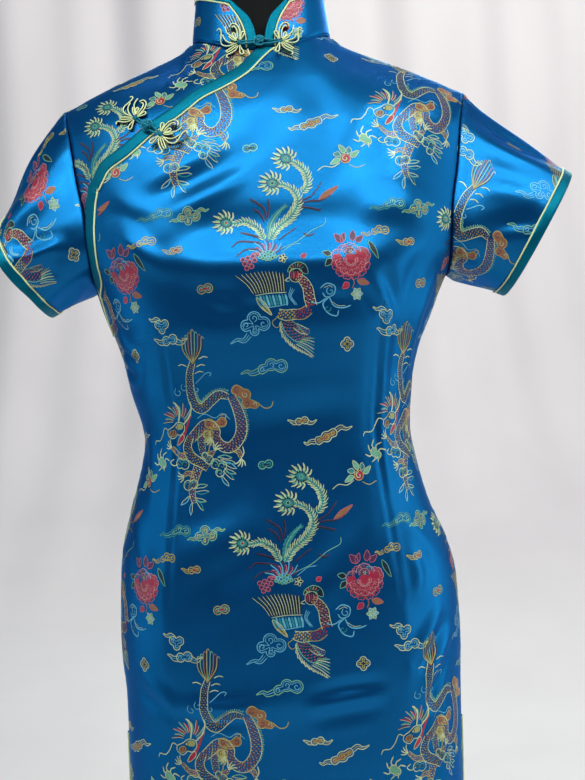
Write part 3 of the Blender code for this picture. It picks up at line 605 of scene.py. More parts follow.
class SleeveCloth(Cloth):
    """p turns round the sleeve from the shoulder over its front, q runs from armhole to cuff."""

    step = (0.002, 0.004)
    TURNS = np.linspace(0, 1, 97)
    OUTS, ROUND_AT = np.linspace(0, 1, 25), 16  # and which of them the width is measured at
    STRAIGHT = 0.0012  # the sleeve leaves its seam this far before it bends

    def __init__(self, sizes, wrinkles):
        self.sizes, self.wrinkles = sizes, wrinkles
        self.turned = sizes["side"]
        p, q = np.meshgrid(self.TURNS, self.OUTS, indexing="ij")
        grid = self.base(p, q)
        self.lengths = np.linalg.norm(np.diff(grid, axis=1), axis=2).sum(axis=1)
        self.round = np.linalg.norm(np.diff(grid[:, self.ROUND_AT], axis=0), axis=1).sum()

    def base(self, turn, out):
        sizes, side = self.sizes, self.sizes["side"]
        turn = np.mod(turn, 1.0)
        facing_front = turn < 0.5
        down = np.where(facing_front, turn * 2, 2 - turn * 2)
        fall = (1 - np.cos(down * np.pi)) / 2
        z = mix(shoulder_end(), ARMPIT_HEIGHT, fall)
        x = side * ARMHOLE.at(z, "half")
        front, behind = body_point(-1, x, z), body_point(1, x, z)
        start = np.where(facing_front[..., None], front, behind)

        angle = 2 * np.pi * turn
        top, foot = np.array(sizes["cuff_top"]), np.array(sizes["cuff_foot"])
        middle, reach = (top + foot) / 2, (top - foot) / 2
        outward = np.array((reach[1], -reach[0])) / np.hypot(*reach)
        bow = sizes["bulge"] * np.sin(angle) ** 2 * (1 + sizes["skew"] * np.cos(angle))
        along = [middle[k] + reach[k] * np.cos(angle) + outward[k] * bow for k in (0, 1)]
        depth = sizes["half_depth"] * np.sin(angle) - sizes["tuck"] * gaussian(turn - 0.36, 0.035)
        end = places(side * along[0], -depth, along[1])

        span = np.linalg.norm(end - start, axis=-1, keepdims=True)
        high = (1 + np.cos(2 * np.pi * turn)) / 2
        ways = [mix(f, t, high) for f, t in zip(sizes["leave_foot"], sizes["leave_top"])]
        leave = unit(places(side * ways[0], 0, ways[1])) * span
        arrive = end - start
        start = start + leave * (self.STRAIGHT / span)
        t = np.asarray(out)[..., None]
        curved = leave * t * (1 - t) ** 2 - arrive * t * t * (1 - t)
        return start * (1 + 2 * t) * (1 - t) ** 2 + end * t * t * (3 - 2 * t) + curved

    @property
    def grain(self):
        """A sleeve is cut crosswise: the pattern's right runs along it and its up round it."""
        return np.array(((0.0, -self.turned), (-1.0, 0.0)))

    def length_at(self, turn):
        return np.interp(np.mod(turn, 1.0), self.TURNS, self.lengths)

    def unroll(self, turn, out):
        """u runs round from the shoulder, v up from the cuff."""
        return turn * self.round, (1 - out) * self.length_at(turn)

    def reroll(self, u, v):
        turn = np.asarray(u) / self.round
        return turn, 1 - v / self.length_at(turn)

    def relief(self, turn, out):
        u, v = self.unroll(np.mod(turn, 1.0), out)
        length = self.length_at(turn)
        top = length - v
        total = wrinkled(self.wrinkles, u, v) * smooth(top, 0.0, 0.012) * smooth(v, -0.002, 0.010)
        seam = seam_roll(top, 0.0007, 0.0020)
        cap = smooth(np.cos(2 * np.pi * turn), -0.2, 0.9)
        gathers = puckers(top, u, 0.00035 + 0.0004 * cap, 0.011, 0.009, 1.0)
        return total + seam + gathers * smooth(top, 0.0, 0.003)

    def inside(self, u, v):
        turn = u / self.round
        length = self.length_at(turn)
        return (v > TAPE_WIDTH * COVERED) & (v < length - 0.0006) & (turn >= 0) & (turn < 1)


class CollarCloth(Cloth):
    """p is the turn from the middle of the back, positive to the wearer's left; q runs up."""

    step = (0.01, 0.01)
    turned = -1
    MIDDLE = 90  # the middle one of the turns in ANGLES
    ANGLES = np.linspace(-math.pi, math.pi, 2 * MIDDLE + 1)
    LEVEL = 0.4  # share of the height at which lengths round the collar are measured
    FOOT_MARGIN = 0.0012
    CORNER_IN, CORNER_UP, CORNER_RADIUS = 0.018, 0.030, 0.0165  # where the figures round off

    def __init__(self):
        grid = self.base(self.ANGLES, np.full(self.ANGLES.shape, self.LEVEL))
        run = along_of(grid)
        self.around = run - run[self.MIDDLE]

    @staticmethod
    def drawn_back(up):
        """How far the front edge lies back from the middle."""
        return COLLAR_OPENING + COLLAR_CORNER * np.clip(up, 0, 1) ** COLLAR_ROUNDING

    def base(self, angle, up):
        climb = up * COLLAR_HEIGHT
        x = NECK_HALF * np.sin(angle)
        in_front = np.cos(angle) < 0
        draw = self.drawn_back(up)
        front = body_point(-1, x, neckline_height(-1, x))
        behind = body_point(1, x, neckline_height(1, x))
        base = np.where(in_front[..., None], front, behind)
        drawn = 1 - COLLAR_LEAN / NECK_HALF * up
        beside = NECK_HALF * (np.pi - np.abs(angle)) - draw
        drop = COLLAR_DROP * smooth(up, 0.55, 1.0) * (1 - smooth(beside, 0.0, 0.02))
        lift = SEAM_GAP + CLOTH * 0.8
        x, y = base[..., 0] * drawn, base[..., 1] * drawn
        return places(x, y, base[..., 2] + lift + climb - drop)

    def relief(self, angle, up):
        return seam_roll(up * COLLAR_HEIGHT, 0.0006, 0.0016) + 0.0003 * np.sin(9 * angle) * up

    def unroll(self, angle, up):
        return np.interp(angle, self.ANGLES, self.around), up * COLLAR_HEIGHT

    def reroll(self, u, v):
        return np.interp(u, self.around, self.ANGLES), np.asarray(v) / COLLAR_HEIGHT

    def front_edge(self, up):
        """The turn at which the wearer's left front ends."""
        return np.pi - np.arcsin(self.drawn_back(up) / NECK_HALF)

    def inside(self, u, v):
        _, up = self.reroll(u, v)
        end = np.interp(self.front_edge(up), self.ANGLES, self.around)
        past_side, past_top = np.abs(u) - end + self.CORNER_IN, v - self.CORNER_UP
        away = np.hypot(np.maximum(past_side, 0), np.maximum(past_top, 0))
        rounded = away < self.CORNER_RADIUS
        shown = (v > self.FOOT_MARGIN) & (v < COLLAR_HEIGHT - TAPE_WIDTH * COVERED)
        return shown & (np.abs(u) < end - TAPE_WIDTH * COVERED) & rounded


# ---- making meshes ---------------------------------------------------------
def add_to_scene(name, data):
    made = bpy.data.objects.new(name, data)
    bpy.context.scene.collection.objects.link(made)
    return made


def new_piece(name, points, faces, looks, face_looks=None, ends=()):
    """A piece of the dress with its materials, riding on the one body; ends are extra polygons."""
    mesh = bpy.data.meshes.new(name)
    mesh.from_pydata(points.reshape(-1, 3).tolist(), [], faces.tolist() + [list(e) for e in ends])
    for look in looks:
        mesh.materials.append(look)
    if face_looks is not None:
        indices = np.concatenate((face_looks, np.zeros(len(ends), int)))
        mesh.polygons.foreach_set("material_index", indices.astype(np.int32))
    mesh.validate()
    mesh.shade_smooth()
    made = add_to_scene(name, mesh)
    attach(made, "root")
    return made


def grid_faces(columns, rows, count=None, start=0, flip=False):
    """Quads of a grid of points numbered column by column; a count under columns + 1 closes it
    to a ring."""
    count = count or columns + 1
    c, r = np.meshgrid(np.arange(columns), np.arange(rows), indexing="ij")
    left, right = (c % count) * (rows + 1), ((c + 1) % count) * (rows + 1)
    quads = np.stack((left + r, right + r, right + r + 1, left + r + 1), axis=-1).reshape(-1, 4)
    return start + (quads[:, ::-1] if flip else quads)


def shell(name, cloth, p, q, looks, ring=False, wall=SHELL):
    """The fine cloth: its face, its inside and the turned edges between them."""
    columns, rows = p.shape[0] - 1, p.shape[1] - 1
    count = columns if ring else columns + 1
    p, q = p[:count], q[:count]
    outer = cloth.place(p, q)
    inner = cloth.keep(outer - cloth.normal(p, q) * wall)
    flip = cloth.turned < 0
    size = count * (rows + 1)
    faces = [
        grid_faces(columns, rows, count, 0, flip),
        grid_faces(columns, rows, count, size, not flip),
    ]
    foot, side = np.arange(columns + 1) % count * (rows + 1), np.arange(rows + 1)
    edges = [foot, (foot + rows)[::-1]]
    if not ring:
        edges += [columns * (rows + 1) + side, side[::-1]]
    for edge in edges:
        turned = np.stack((edge[1:], edge[:-1], edge[:-1] + size, edge[1:] + size), axis=-1)
        faces.append(turned[:, ::-1] if flip else turned)
    kinds = np.concatenate([np.full(len(f), min(k, 1)) for k, f in enumerate(faces)])
    points = np.concatenate((outer.reshape(-1, 3), inner.reshape(-1, 3)))
    made = new_piece(name, points, np.vstack(faces), looks, kinds)
    u, v = cloth.unroll(p, q)
    across = outer[1:, :-1] - outer[:-1, :-1]
    upward = outer[:-1, 1:] - outer[:-1, :-1]
    area = np.linalg.norm(np.cross(across, upward), axis=-1).sum()
    return made, (float(np.ptp(u)), float(np.ptp(v)), float(area))


def turned_normals(path, closed=False):
    """Left-hand normals of a flat path, lengthened at corners so that an offset stays parallel."""
    if closed:
        legs = np.roll(path, -1, axis=0) - path
        before, after = unit(np.roll(legs, 1, axis=0)), unit(legs)
    else:
        legs = unit(np.diff(path, axis=0))
        before, after = np.vstack((legs[:1], legs)), np.vstack((legs, legs[-1:]))
    n1 = np.stack((-before[:, 1], before[:, 0]), axis=1)
    n2 = np.stack((-after[:, 1], after[:, 0]), axis=1)
    both = unit(n1 + n2)
    stretch = 1 / np.clip((both * n2).sum(axis=1), 0.6, 1)
    return both * stretch[:, None]


# The folded binding's section: share of the width in from the edge, and height off the cloth in mm.
TAPE_SECTION = (
    (0.000, -0.75), (-0.012, 0.0), (-0.004, 0.75), (0.050, 1.30), (0.160, 1.55), (0.350, 1.50),
    (0.600, 1.42), (0.850, 1.32), (0.960, 1.05), (0.995, 0.50), (0.990, 0.08), (0.500, 0.06),
    (0.040, 0.05), (0.030, -0.60),
)


LAST_TURN = 0.020  # the end of a binding's path over which it turns


def reach_of(path, width, side, closed=False, last=None):
    """How far a binding reaches in along its path, to the left where side is 1; at its end it
    turns to last."""
    reach = turned_normals(path, closed) * (width * side)
    if last is None:
        return reach
    run = along_of(path)
    return mix(reach, np.array(last), smooth(run, run[-1] - LAST_TURN, run[-1])[:, None])


def tape(name, cloth, path, reach, looks, nodes, closed=False):
    """A folded binding along a flat path at the cloth's edge, reaching in from it."""
    run = along_of(path)
    swell = 1 + 0.05 * np.sin(run * 330) * np.sin(run * 71 + 1)
    shares = np.array(TAPE_SECTION)
    flat = path[:, None, :] + reach[:, None, :] * shares[None, :, :1]
    lift = shares[None, :, 1] * MM * swell[:, None]
    points = cloth.lay(flat[..., 0], flat[..., 1], lift)
    count, ring = points.shape[:2]
    faces = tube_faces(count, ring, closed)
    ends = () if closed else (range(ring), range(count * ring - 1, (count - 1) * ring - 1, -1))
    made = new_piece(name, points, faces, looks, ends=ends)
    outward_faces(made)
    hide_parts(*nodes)
    return made


def outward_faces(made):
    """Turns a closed mesh's faces outwards."""
    bm = bmesh.new()
    bm.from_mesh(made.data)
    bmesh.ops.recalc_face_normals(bm, faces=bm.faces)
    bm.to_mesh(made.data)
    bm.free()
    made.data.shade_smooth()


def tube_faces(count, ring, closed=False):
    rows = count if closed else count - 1
    c, k = np.meshgrid(np.arange(rows), np.arange(ring), indexing="ij")
    low, high = c * ring, (c + 1) % count * ring
    after = (k + 1) % ring
    return np.stack((low + k, low + after, high + after, high + k), axis=-1).reshape(-1, 4)


def tube(centres, upward, radius, sides=8, closed=False):
    """Points round a line of centres; upward is any direction across it."""
    if closed:
        along = unit(np.roll(centres, -1, axis=0) - np.roll(centres, 1, axis=0))
    else:
        along = unit(np.gradient(centres, axis=0))
    up = unit(upward - along * (upward * along).sum(axis=1, keepdims=True))
    aside = np.cross(along, up)
    turns = np.arange(sides) * 2 * np.pi / sides
    c, s = np.cos(turns)[None, :, None], np.sin(turns)[None, :, None]
    ring = c * up[:, None, :] + s * aside[:, None, :]
    reach = np.broadcast_to(np.asarray(radius)[..., None, None], (len(centres), 1, 1))
    return centres[:, None, :] + ring * reach


def cord_parts(cloth, path, height, radius, closed=False):
    p, q = cloth.reroll(path[:, 0], path[:, 1])
    centres = cloth.place(p, q, height)
    return tube(centres, cloth.normal(p, q), radius, closed=closed)


def gathered_tubes(name, tubes, looks):
    """One piece of several tubes, each (points, closed, material index)."""
    points, faces, kinds, ends, start = [], [], [], [], 0
    for ring_points, closed, kind in tubes:
        count, ring = ring_points.shape[:2]
        made = tube_faces(count, ring, closed) + start
        faces.append(made)
        kinds.append(np.full(len(made), kind))
        if not closed:
            ends.append([start + k for k in range(ring)][::-1])
            ends.append([start + (count - 1) * ring + k for k in range(ring)])
        points.append(ring_points.reshape(-1, 3))
        start += count * ring
    end_kinds = [kind for _, closed, kind in tubes if not closed for _ in (0, 1)]
    points, faces, face_looks = np.vstack(points), np.vstack(faces), np.concatenate(kinds)
    made = new_piece(name, points, faces, looks, face_looks, ends)
    count = sum(len(k) for k in kinds)
    for k, kind in enumerate(end_kinds):
        made.data.polygons[count + k].material_index = kind
    outward_faces(made)
    return made


# ---- woven figures ---------------------------------------------------------
# Every figure is drawn here flat, in millimetres, right and up from its own middle.
THREADS = {
    "gold": (0.42, 0.34, 0.10),
    "cream": (0.52, 0.56, 0.32),
    "jade": (0.17, 0.42, 0.26),
    "teal": (0.02, 0.22, 0.24),
    "ice": (0.12, 0.42, 0.58),
    "crimson": (0.44, 0.015, 0.045),
    "rose": (0.52, 0.12, 0.15),
    "pink": (0.62, 0.26, 0.29),
    "plum": (0.10, 0.022, 0.075),
    "russet": (0.36, 0.13, 0.05),
    "ink": (0.008, 0.012, 0.026),
}
THREAD_NAMES = list(THREADS)


RAGGED = 0.12 * MM  # how unevenly the floats of a filled figure end


def polar(radius, degrees, centre=(0, 0)):
    turn = math.radians(degrees)
    return centre[0] + radius * math.cos(turn), centre[1] + radius * math.sin(turn)


class Figure:
    """A woven figure: outline threads, and areas filled with rows of weft floats."""

    def __init__(self):
        self.left, self.right, self.kinds, self.layers, self.linked = [], [], [], [], []

    def thread(self, colour, points, half, layer, taper=True):
        if len(points) < 2:
            return
        along = unit(np.gradient(points, axis=0))
        across = np.stack((-along[:, 1], along[:, 0]), axis=1)
        wide = np.full(len(points), half)
        if taper:
            wide[0] = wide[-1] = half * 0.45
        self.left.append(points + across * wide[:, None])
        self.right.append(points - across * wide[:, None])
        self.kinds.append(np.full(len(points), THREAD_NAMES.index(colour)))
        self.layers.append(np.full(len(points), layer))
        self.linked.append(np.arange(len(points)) < len(points) - 1)

    def line(self, colour, points, width=0.85, closed=False, pitch=2.4, layer=2):
        curve = curve_through(np.array(points, float) * MM, pitch * MM, closed)
        self.thread(colour, curve, width * MM / 2, layer, taper=not closed)

    def area(self, colour, outline, layer=0, straight=False):
        outline = np.array(outline, float) * MM
        if straight:
            edge = np.vstack((outline, outline[:1]))
        else:
            edge = curve_through(outline, 1.5 * MM, True)
        low, high = edge[:, 1].min(), edge[:, 1].max()
        for k, v in enumerate(np.arange(low + FLOAT_PITCH / 2, high, FLOAT_PITCH)):
            a, b = edge[:-1], edge[1:]
            crossing = (a[:, 1] <= v) != (b[:, 1] <= v)
            share = (v - a[crossing, 1]) / (b[crossing, 1] - a[crossing, 1])
            ends = np.sort(a[crossing, 0] + (b[crossing, 0] - a[crossing, 0]) * share)
            for start, end in zip(ends[::2], ends[1::2]):
                if end - start < 0.6 * MM:
                    continue
                start = start + RAGGED * math.sin(k * 2.4)
                end = end + RAGGED * math.sin(k * 1.9 + 1)
                count = int(math.ceil((end - start) / (4.5 * MM))) + 1
                row = np.stack((np.linspace(start, end, count), np.full(count, v)), axis=1)
                self.thread(colour, row, FLOAT_PITCH * 0.43, layer, taper=False)

    def outlined(self, fill, edge, outline, width=0.85, layer=0):
        self.area(fill, outline, layer)
        self.line(edge, outline, width, closed=True, layer=layer + 2)

    def disc(self, fill, edge, centre, radius, layer=0):
        ring = [polar(radius, turn, centre) for turn in range(0, 360, 45)]
        self.outlined(fill, edge, ring, 0.75, layer)

    def dash(self, colour, start, end, width=0.8, layer=2):
        self.thread(colour, np.array((start, end), float) * MM, width * MM / 2, layer, taper=False)

    def barbs(
        self, colour, spine, length, lean, pitch, sides=(1, -1), width=0.55, layer=2, swell=0.38
    ):
        """Short threads leaving a spine, leaning towards its end by lean degrees."""
        curve = curve_through(np.array(spine, float), 1.0)
        run = along_of(curve)
        for k, stop in enumerate(np.arange(pitch * 0.6, run[-1], pitch)):
            share = stop / run[-1]
            place, way = spot_on(curve, run, stop)
            full = 1 - swell + swell * math.sin(math.pi * min(1, share * 1.1 + 0.1))
            reach = length * full * (1 - 0.2 * (k % 2))
            for side in sides:
                bend = polar(reach * 0.5, way + side * (lean + 14), place)
                barb = (place, bend, polar(reach, way + side * lean, place))
                self.line(colour, barb, width, pitch=2.6, layer=layer)

    def packed(self):
        parts = (self.left, self.right, self.kinds, self.layers, self.linked)
        return [np.concatenate(part) for part in parts]


def spot_on(curve, run, stop):
    """The place on a curve at a length along it, and its direction there in degrees."""
    place, ahead = (
        np.array([np.interp(at, run, curve[:, i]) for i in (0, 1)])
        for at in (stop - 0.4, stop + 0.4)
    )
    return (place + ahead) / 2, math.degrees(math.atan2(*(ahead - place)[::-1]))


def offset_line(spine, widths, side):
    """A line beside a spine, with its distance from it read along widths."""
    curve = curve_through(np.array(spine, float), 2.0)
    share = along_of(curve) / along_of(curve)[-1]
    wide = np.interp(share, np.linspace(0, 1, len(widths)), widths)
    along = unit(np.gradient(curve, axis=0))
    across = np.stack((-along[:, 1], along[:, 0]), axis=1)
    return curve + across * (wide * side)[:, None]


def scaled_body(figure, spine, widths, fill, edge, scale, pitch=2.0):
    """A long body: edged on both sides, with rows of dark scales, each with a pale rim."""
    for side in (1, -1):
        figure.line(edge, offset_line(spine, widths, side)[::2], 0.68)
    curve = curve_through(np.array(spine, float), 0.8)
    run = along_of(curve)
    for k, stop in enumerate(np.arange(pitch * 0.5, run[-1] - 0.8, pitch)):
        wide = np.interp(stop / run[-1], np.linspace(0, 1, len(widths)), widths)
        place, way = spot_on(curve, run, stop)
        for aside in ((-0.66, 0.0, 0.66), (-0.34, 0.34))[k % 2]:
            root = polar(wide * abs(aside), way + (90 if aside > 0 else -90), place)
            tip = polar(1.45, way + 30 * aside, root)
            figure.dash(fill, root, tip, min(1.9, 0.40 * wide), layer=0)
            rim = min(0.85, 0.20 * wide)
            ends = polar(rim, way + 70, tip), polar(rim, way - 110, tip)
            figure.dash((scale, "russet")[k % 3 == 0], *ends, 0.62, layer=1)


def flame(figure, colour, root, tip, bow):
    """A curled flame of two threads."""
    middle = (np.array(root) + tip) / 2
    across = np.array((root[1] - tip[1], tip[0] - root[0])) * 0.16 * bow
    figure.line(colour, (root, middle + across, tip), 0.9, layer=1)
    figure.line("cream", (root, middle - 0.4 * across, (middle + tip) / 2 - 0.5 * across, tip), 0.6)


def leaf(figure, fill, edge, root, tip, half, width=0.6, layer=0):
    """A pointed leaf from its root to its tip."""
    length, way = math.dist(root, tip), math.degrees(math.atan2(tip[1] - root[1], tip[0] - root[0]))
    middle = polar(length * 0.35, way, root)
    sides = [polar(half, way + side * 90, middle) for side in (1, -1)]
    outer = [polar(half * 0.7, way + side * 90, polar(length * 0.7, way, root)) for side in (1, -1)]
    figure.outlined(fill, edge, (root, sides[0], outer[0], tip, outer[1], sides[1]), width, layer)


def claws(figure, root, way, reach=8.0, count=4, colour="cream"):
    """A spread claw."""
    for k in range(count):
        turn = way + (k - (count - 1) / 2) * 27
        claw = (root, polar(reach * 0.55, turn + 9, root), polar(reach, turn - 6, root))
        figure.line(colour, claw, 1.05)


def plume(figure, spine, eye, barb, under, length=6.0, tip_size=1.0):
    """A tail feather: barbs in three colours along a rib, and at its tip an eye among flames."""
    figure.barbs("ink", spine, length * 1.04, 35, 3.1, width=0.6, layer=0)
    figure.barbs(under, spine, length * 0.8, 30, 2.1, width=1.0, layer=0)
    figure.barbs(barb, spine, length, 42, 2.5, width=0.85)
    figure.line("teal", spine, 1.0, layer=3)
    tip = spine[-1]
    way = math.degrees(math.atan2(tip[1] - spine[-2][1], tip[0] - spine[-2][0]))
    for k in range(-5, 6):
        turn, far = way + k * 27, (13.0 - 0.5 * abs(k) + (k % 2) * 1.2) * tip_size
        for colour, aside, share, width, layer in (
            ("ink", 8, 0.92, 0.8, 0), (under, -9, 0.78, 1.3, 0), (barb, 0, 1.0, 1.45, 2)
        ):
            points = [
                polar(far * share * reach, turn + aside + bend * k, tip)
                for reach, bend in ((0.45, 0), (0.70, 1.0), (1.0, -3.2))
            ]
            figure.line(colour, points, width, layer=layer)
    oval = [polar((5.4, 4.2)[k % 4 > 0] * tip_size, way + k * 45, tip) for k in range(8)]
    figure.outlined("teal", "ink", oval, 0.6, 3)
    figure.disc(eye, "jade", tip, 1.7 * tip_size, layer=5)


def phoenix_tail(f):
    """Three long plumes and a short one, with dark sprigs among them."""
    plume(f, ((14, 50), (20, 58), (19, 70), (11, 79), (2, 84)), "teal", "cream", "jade", 7.6)
    middle = ((-16, 8), (-8, 20), (4, 30), (11, 42), (8, 53), (-1, 59), (-11, 61))
    plume(f, middle, "ink", "cream", "jade", 8.0)
    outer = ((-20, 8), (-26, 20), (-36, 27), (-46, 26), (-54, 27))
    plume(f, outer, "crimson", "cream", "jade", 6.8, 0.95)
    f.barbs("teal", ((-17, 8), (-14, 24), (-7, 34), (0, 40)), 5.5, 32, 1.9, width=1.1)
    f.line("jade", ((-17, 8), (-14, 24), (-7, 34), (0, 40)), 0.8, layer=3)
    for points in (
        ((12, 43), (22, 47), (28, 53), (33, 60)), ((13, 41), (22, 43), (30, 43), (40, 47)),
        ((12, 38), (20, 37), (31, 34)),
        ((-18, 28), (-20, 38), (-26, 43), (-32, 47)), ((-17, 30), (-15, 38), (-16, 46)),
        ((-20, 26), (-24, 34), (-30, 38)),
        ((-22, 16), (-28, 22), (-34, 24)), ((-23, 10), (-32, 14), (-42, 17)),
        ((-24, 6), (-36, 8), (-44, 8), (-50, 3)),
        ((-26, 0), (-38, 0), (-46, -6)), ((-8, 8), (0, 14), (8, 19)),
        ((14, 14), (18, 11), (24, 13)),
    ):
        f.line("ink", points, 1.25, layer=1)
        f.line("plum", [(x + 0.8, y + 0.8) for x, y in points], 0.6, layer=3)
    leaf(f, "russet", "rose", (30, 44), (48, 56), 2.6, 0.5)
    f.line("jade", ((-8, -1), (8, 6), (22, 16), (34, 22), (35, 28)), 0.6)
    f.line("ice", ((-6, -4), (4, 3), (12, 4)), 0.6)


def phoenix_fan(f):
    """The fan over the back, with eyes along its foot, grapes beside it and a small flower."""
    root = (-18, -8)
    for k in range(15):
        turn = 34 + k * 9.0
        tip = polar(17 + 2.5 * math.sin(k * 2.1), turn + 4, root)
        quill = (polar(6, turn, root), polar(12, turn - 3, root), tip)
        f.line(("plum", "ice", "rose")[k % 3], quill, 1.0)
    for row in range(3):
        for k in range(3 + row * 2):
            spot = polar(1.6 + 2.9 * row, 20 + k * 140 / (2 + row * 2), (-18, -10))
            fill = ("teal", "ink", "teal")[(k + row) % 3]
            f.disc(fill, ("jade", "ice")[k % 2], spot, 1.35, layer=1)
    for row in range(3):
        for k in range(4 - row):
            spot = (-40 + k * 4.4 + row * 1.6, -9 - row * 3.6 + k * 1.4)
            f.disc("plum", "rose", spot, 1.9)
    for turn in range(0, 360, 72):
        leaf(f, "ink", "cream", (-5, -9), polar(4.4, turn, (-5, -9)), 1.5, 0.45, 1)
    leaf(f, "crimson", "rose", (11, -9), (16, -6), 2.2, 0.5)


def phoenix_wing(f):
    """The raised wing: dark quills edged with cream, then ice-blue coverts."""
    for k in range(13):
        share = k / 12
        root = (mix(-31, -4, share), -39 + share)
        tip = (mix(-46, -4.5, share**0.85), -22 + 2.5 * math.sin(3 * share))
        bend = (mix(root[0], tip[0], 0.45) + 1.2 * (1 - share), mix(root[1], tip[1], 0.5))
        f.line("ink", (root, bend, tip), 1.9, layer=0)
        f.line("cream", [(x - 1.1, y + 0.3) for x, y in (root, bend, tip)], 0.5)
    for k in range(10):
        x = -29.5 + 2.8 * k
        covert = ((x, -40), (x + 1.2, -45), (x + 3.5 - 0.25 * k, -50))
        f.line(("teal", "ice")[k % 2], covert, 1.9, layer=1)
    f.line("cream", ((-31, -40), (-18, -38.5), (-3, -38.5)), 0.6)
    f.line("ice", ((-25, -51), (-14, -50.5), (-3, -49)), 0.7)
    leaf(f, "gold", "cream", (-30, -42), (-17, -58), 2.6)
    f.line("ink", ((-28, -45), (-19, -56)), 0.5, layer=4)
    for k in range(3):
        f.line("ice", ((1 + k * 1.6, -34 - k), (-1 + k, -42), (4 + k, -50)), 0.6)


def phoenix_head(f):
    """The neck, the striped cheek and the crown."""
    neck = ((19, -52), (17, -44), (16, -36), (12, -29), (7, -25))
    widths = np.array((4.6, 4.7, 4.5, 3.9, 3.0))
    for k, share in enumerate((-0.75, -0.35, 0.05, 0.45, 0.8)):
        f.line(("ink", "plum")[k % 2], offset_line(neck, widths * share, 1)[::3], 1.3, layer=0)
    scaled_body(f, neck, widths, "crimson", "cream", "cream")
    cheek = ((1, -20), (6, -18), (11, -20), (11, -26), (6, -30), (0.5, -27))
    f.area("ink", cheek)
    for k in range(5):
        x = 1.6 + 2.0 * k
        stripe = ((x, -20 - 0.2 * k), (x + 0.6, -24), (x + 0.2, -27.5 + 0.3 * k))
        f.line(("crimson", "rose")[k % 2], stripe, 1.15, layer=1)
    f.line("cream", cheek, 0.5, True)
    f.line("cream", ((1, -25), (-4, -28), (0, -29)), 0.7, layer=4)
    crown = ((-1, -21), (1, -16), (8, -13), (15, -16), (16.5, -23), (12, -22), (7, -18))
    f.outlined("ink", "jade", crown, 0.6, 1)
    for turn in range(40, 171, 22):
        rib = (polar(4.2, turn, (7, -21)), polar(7.4, turn - 6, (7, -21)))
        f.line(("gold", "teal", "rose")[turn // 22 % 3], rib, 0.9, layer=4)


def phoenix_body(f):
    """The breast, the body, and the low wing with its barbs."""
    scaled_body(f, ((2, -58), (10, -58), (18, -53)), (4.2, 4.8, 4.2), "plum", "gold", "crimson")
    scaled_body(f, ((-12, -56), (-5, -58.5), (5, -58)), (3.6, 4.8, 4.4), "gold", "cream", "ink")
    wing = ((-9, -62), (-7, -74), (2, -85), (17, -95))
    low_wing = ((-6, -62), (-1, -70), (6, -77), (15, -80))
    scaled_body(f, low_wing, (3.6, 6.2, 5.6, 1.6), "ink", "jade", "rose", 1.7)
    scaled_body(f, ((3, -68), (9, -72), (15, -74)), (2.4, 3.2, 2.2), "plum", "cream", "ice", 1.7)
    f.barbs("cream", wing, 6.4, 26, 2.2, sides=(-1,), width=0.95)
    f.barbs("teal", wing, 4.8, 30, 2.2, sides=(-1,), width=1.0, layer=1)
    for k in range(6):
        middle, tip = (11 + k * 0.9, -89 + k * 1.9), (19 + k * 0.2, -96 + k * 3.2)
        f.line(("cream", "jade")[k % 2], ((3 + k * 1.2, -84 + k), middle, tip), 0.8)
    f.line("gold", ((-12, -60), (-17, -64), (-14, -69), (-9, -67)), 0.6)


# One scallop: share of its width across, and share of the row's radius.
SCALLOP = (
    (-0.5, 0.80), (-0.36, 0.97), (-0.12, 1.0), (0.0, 0.96), (0.12, 1.0), (0.36, 0.97), (0.5, 0.80)
)


def scallops(figure, colour, centre, far, first, last, count, width=0.6):
    """A row of scalloped petal edges round a centre, with veins in each."""
    step = (last - first) / count
    for k in range(count):
        turn = first + step * (k + 0.5)
        rim = [polar(far * reach, turn + share * step, centre) for share, reach in SCALLOP]
        figure.line(colour, rim, width, pitch=1.6, layer=4)
        for bend in (-0.2 * step, 0.2 * step):
            root = polar(far * 0.6, turn + bend * 0.4, centre)
            tip = polar(far * 0.86, turn + bend, centre)
            figure.line(colour, (root, tip), width * 0.8, layer=4)


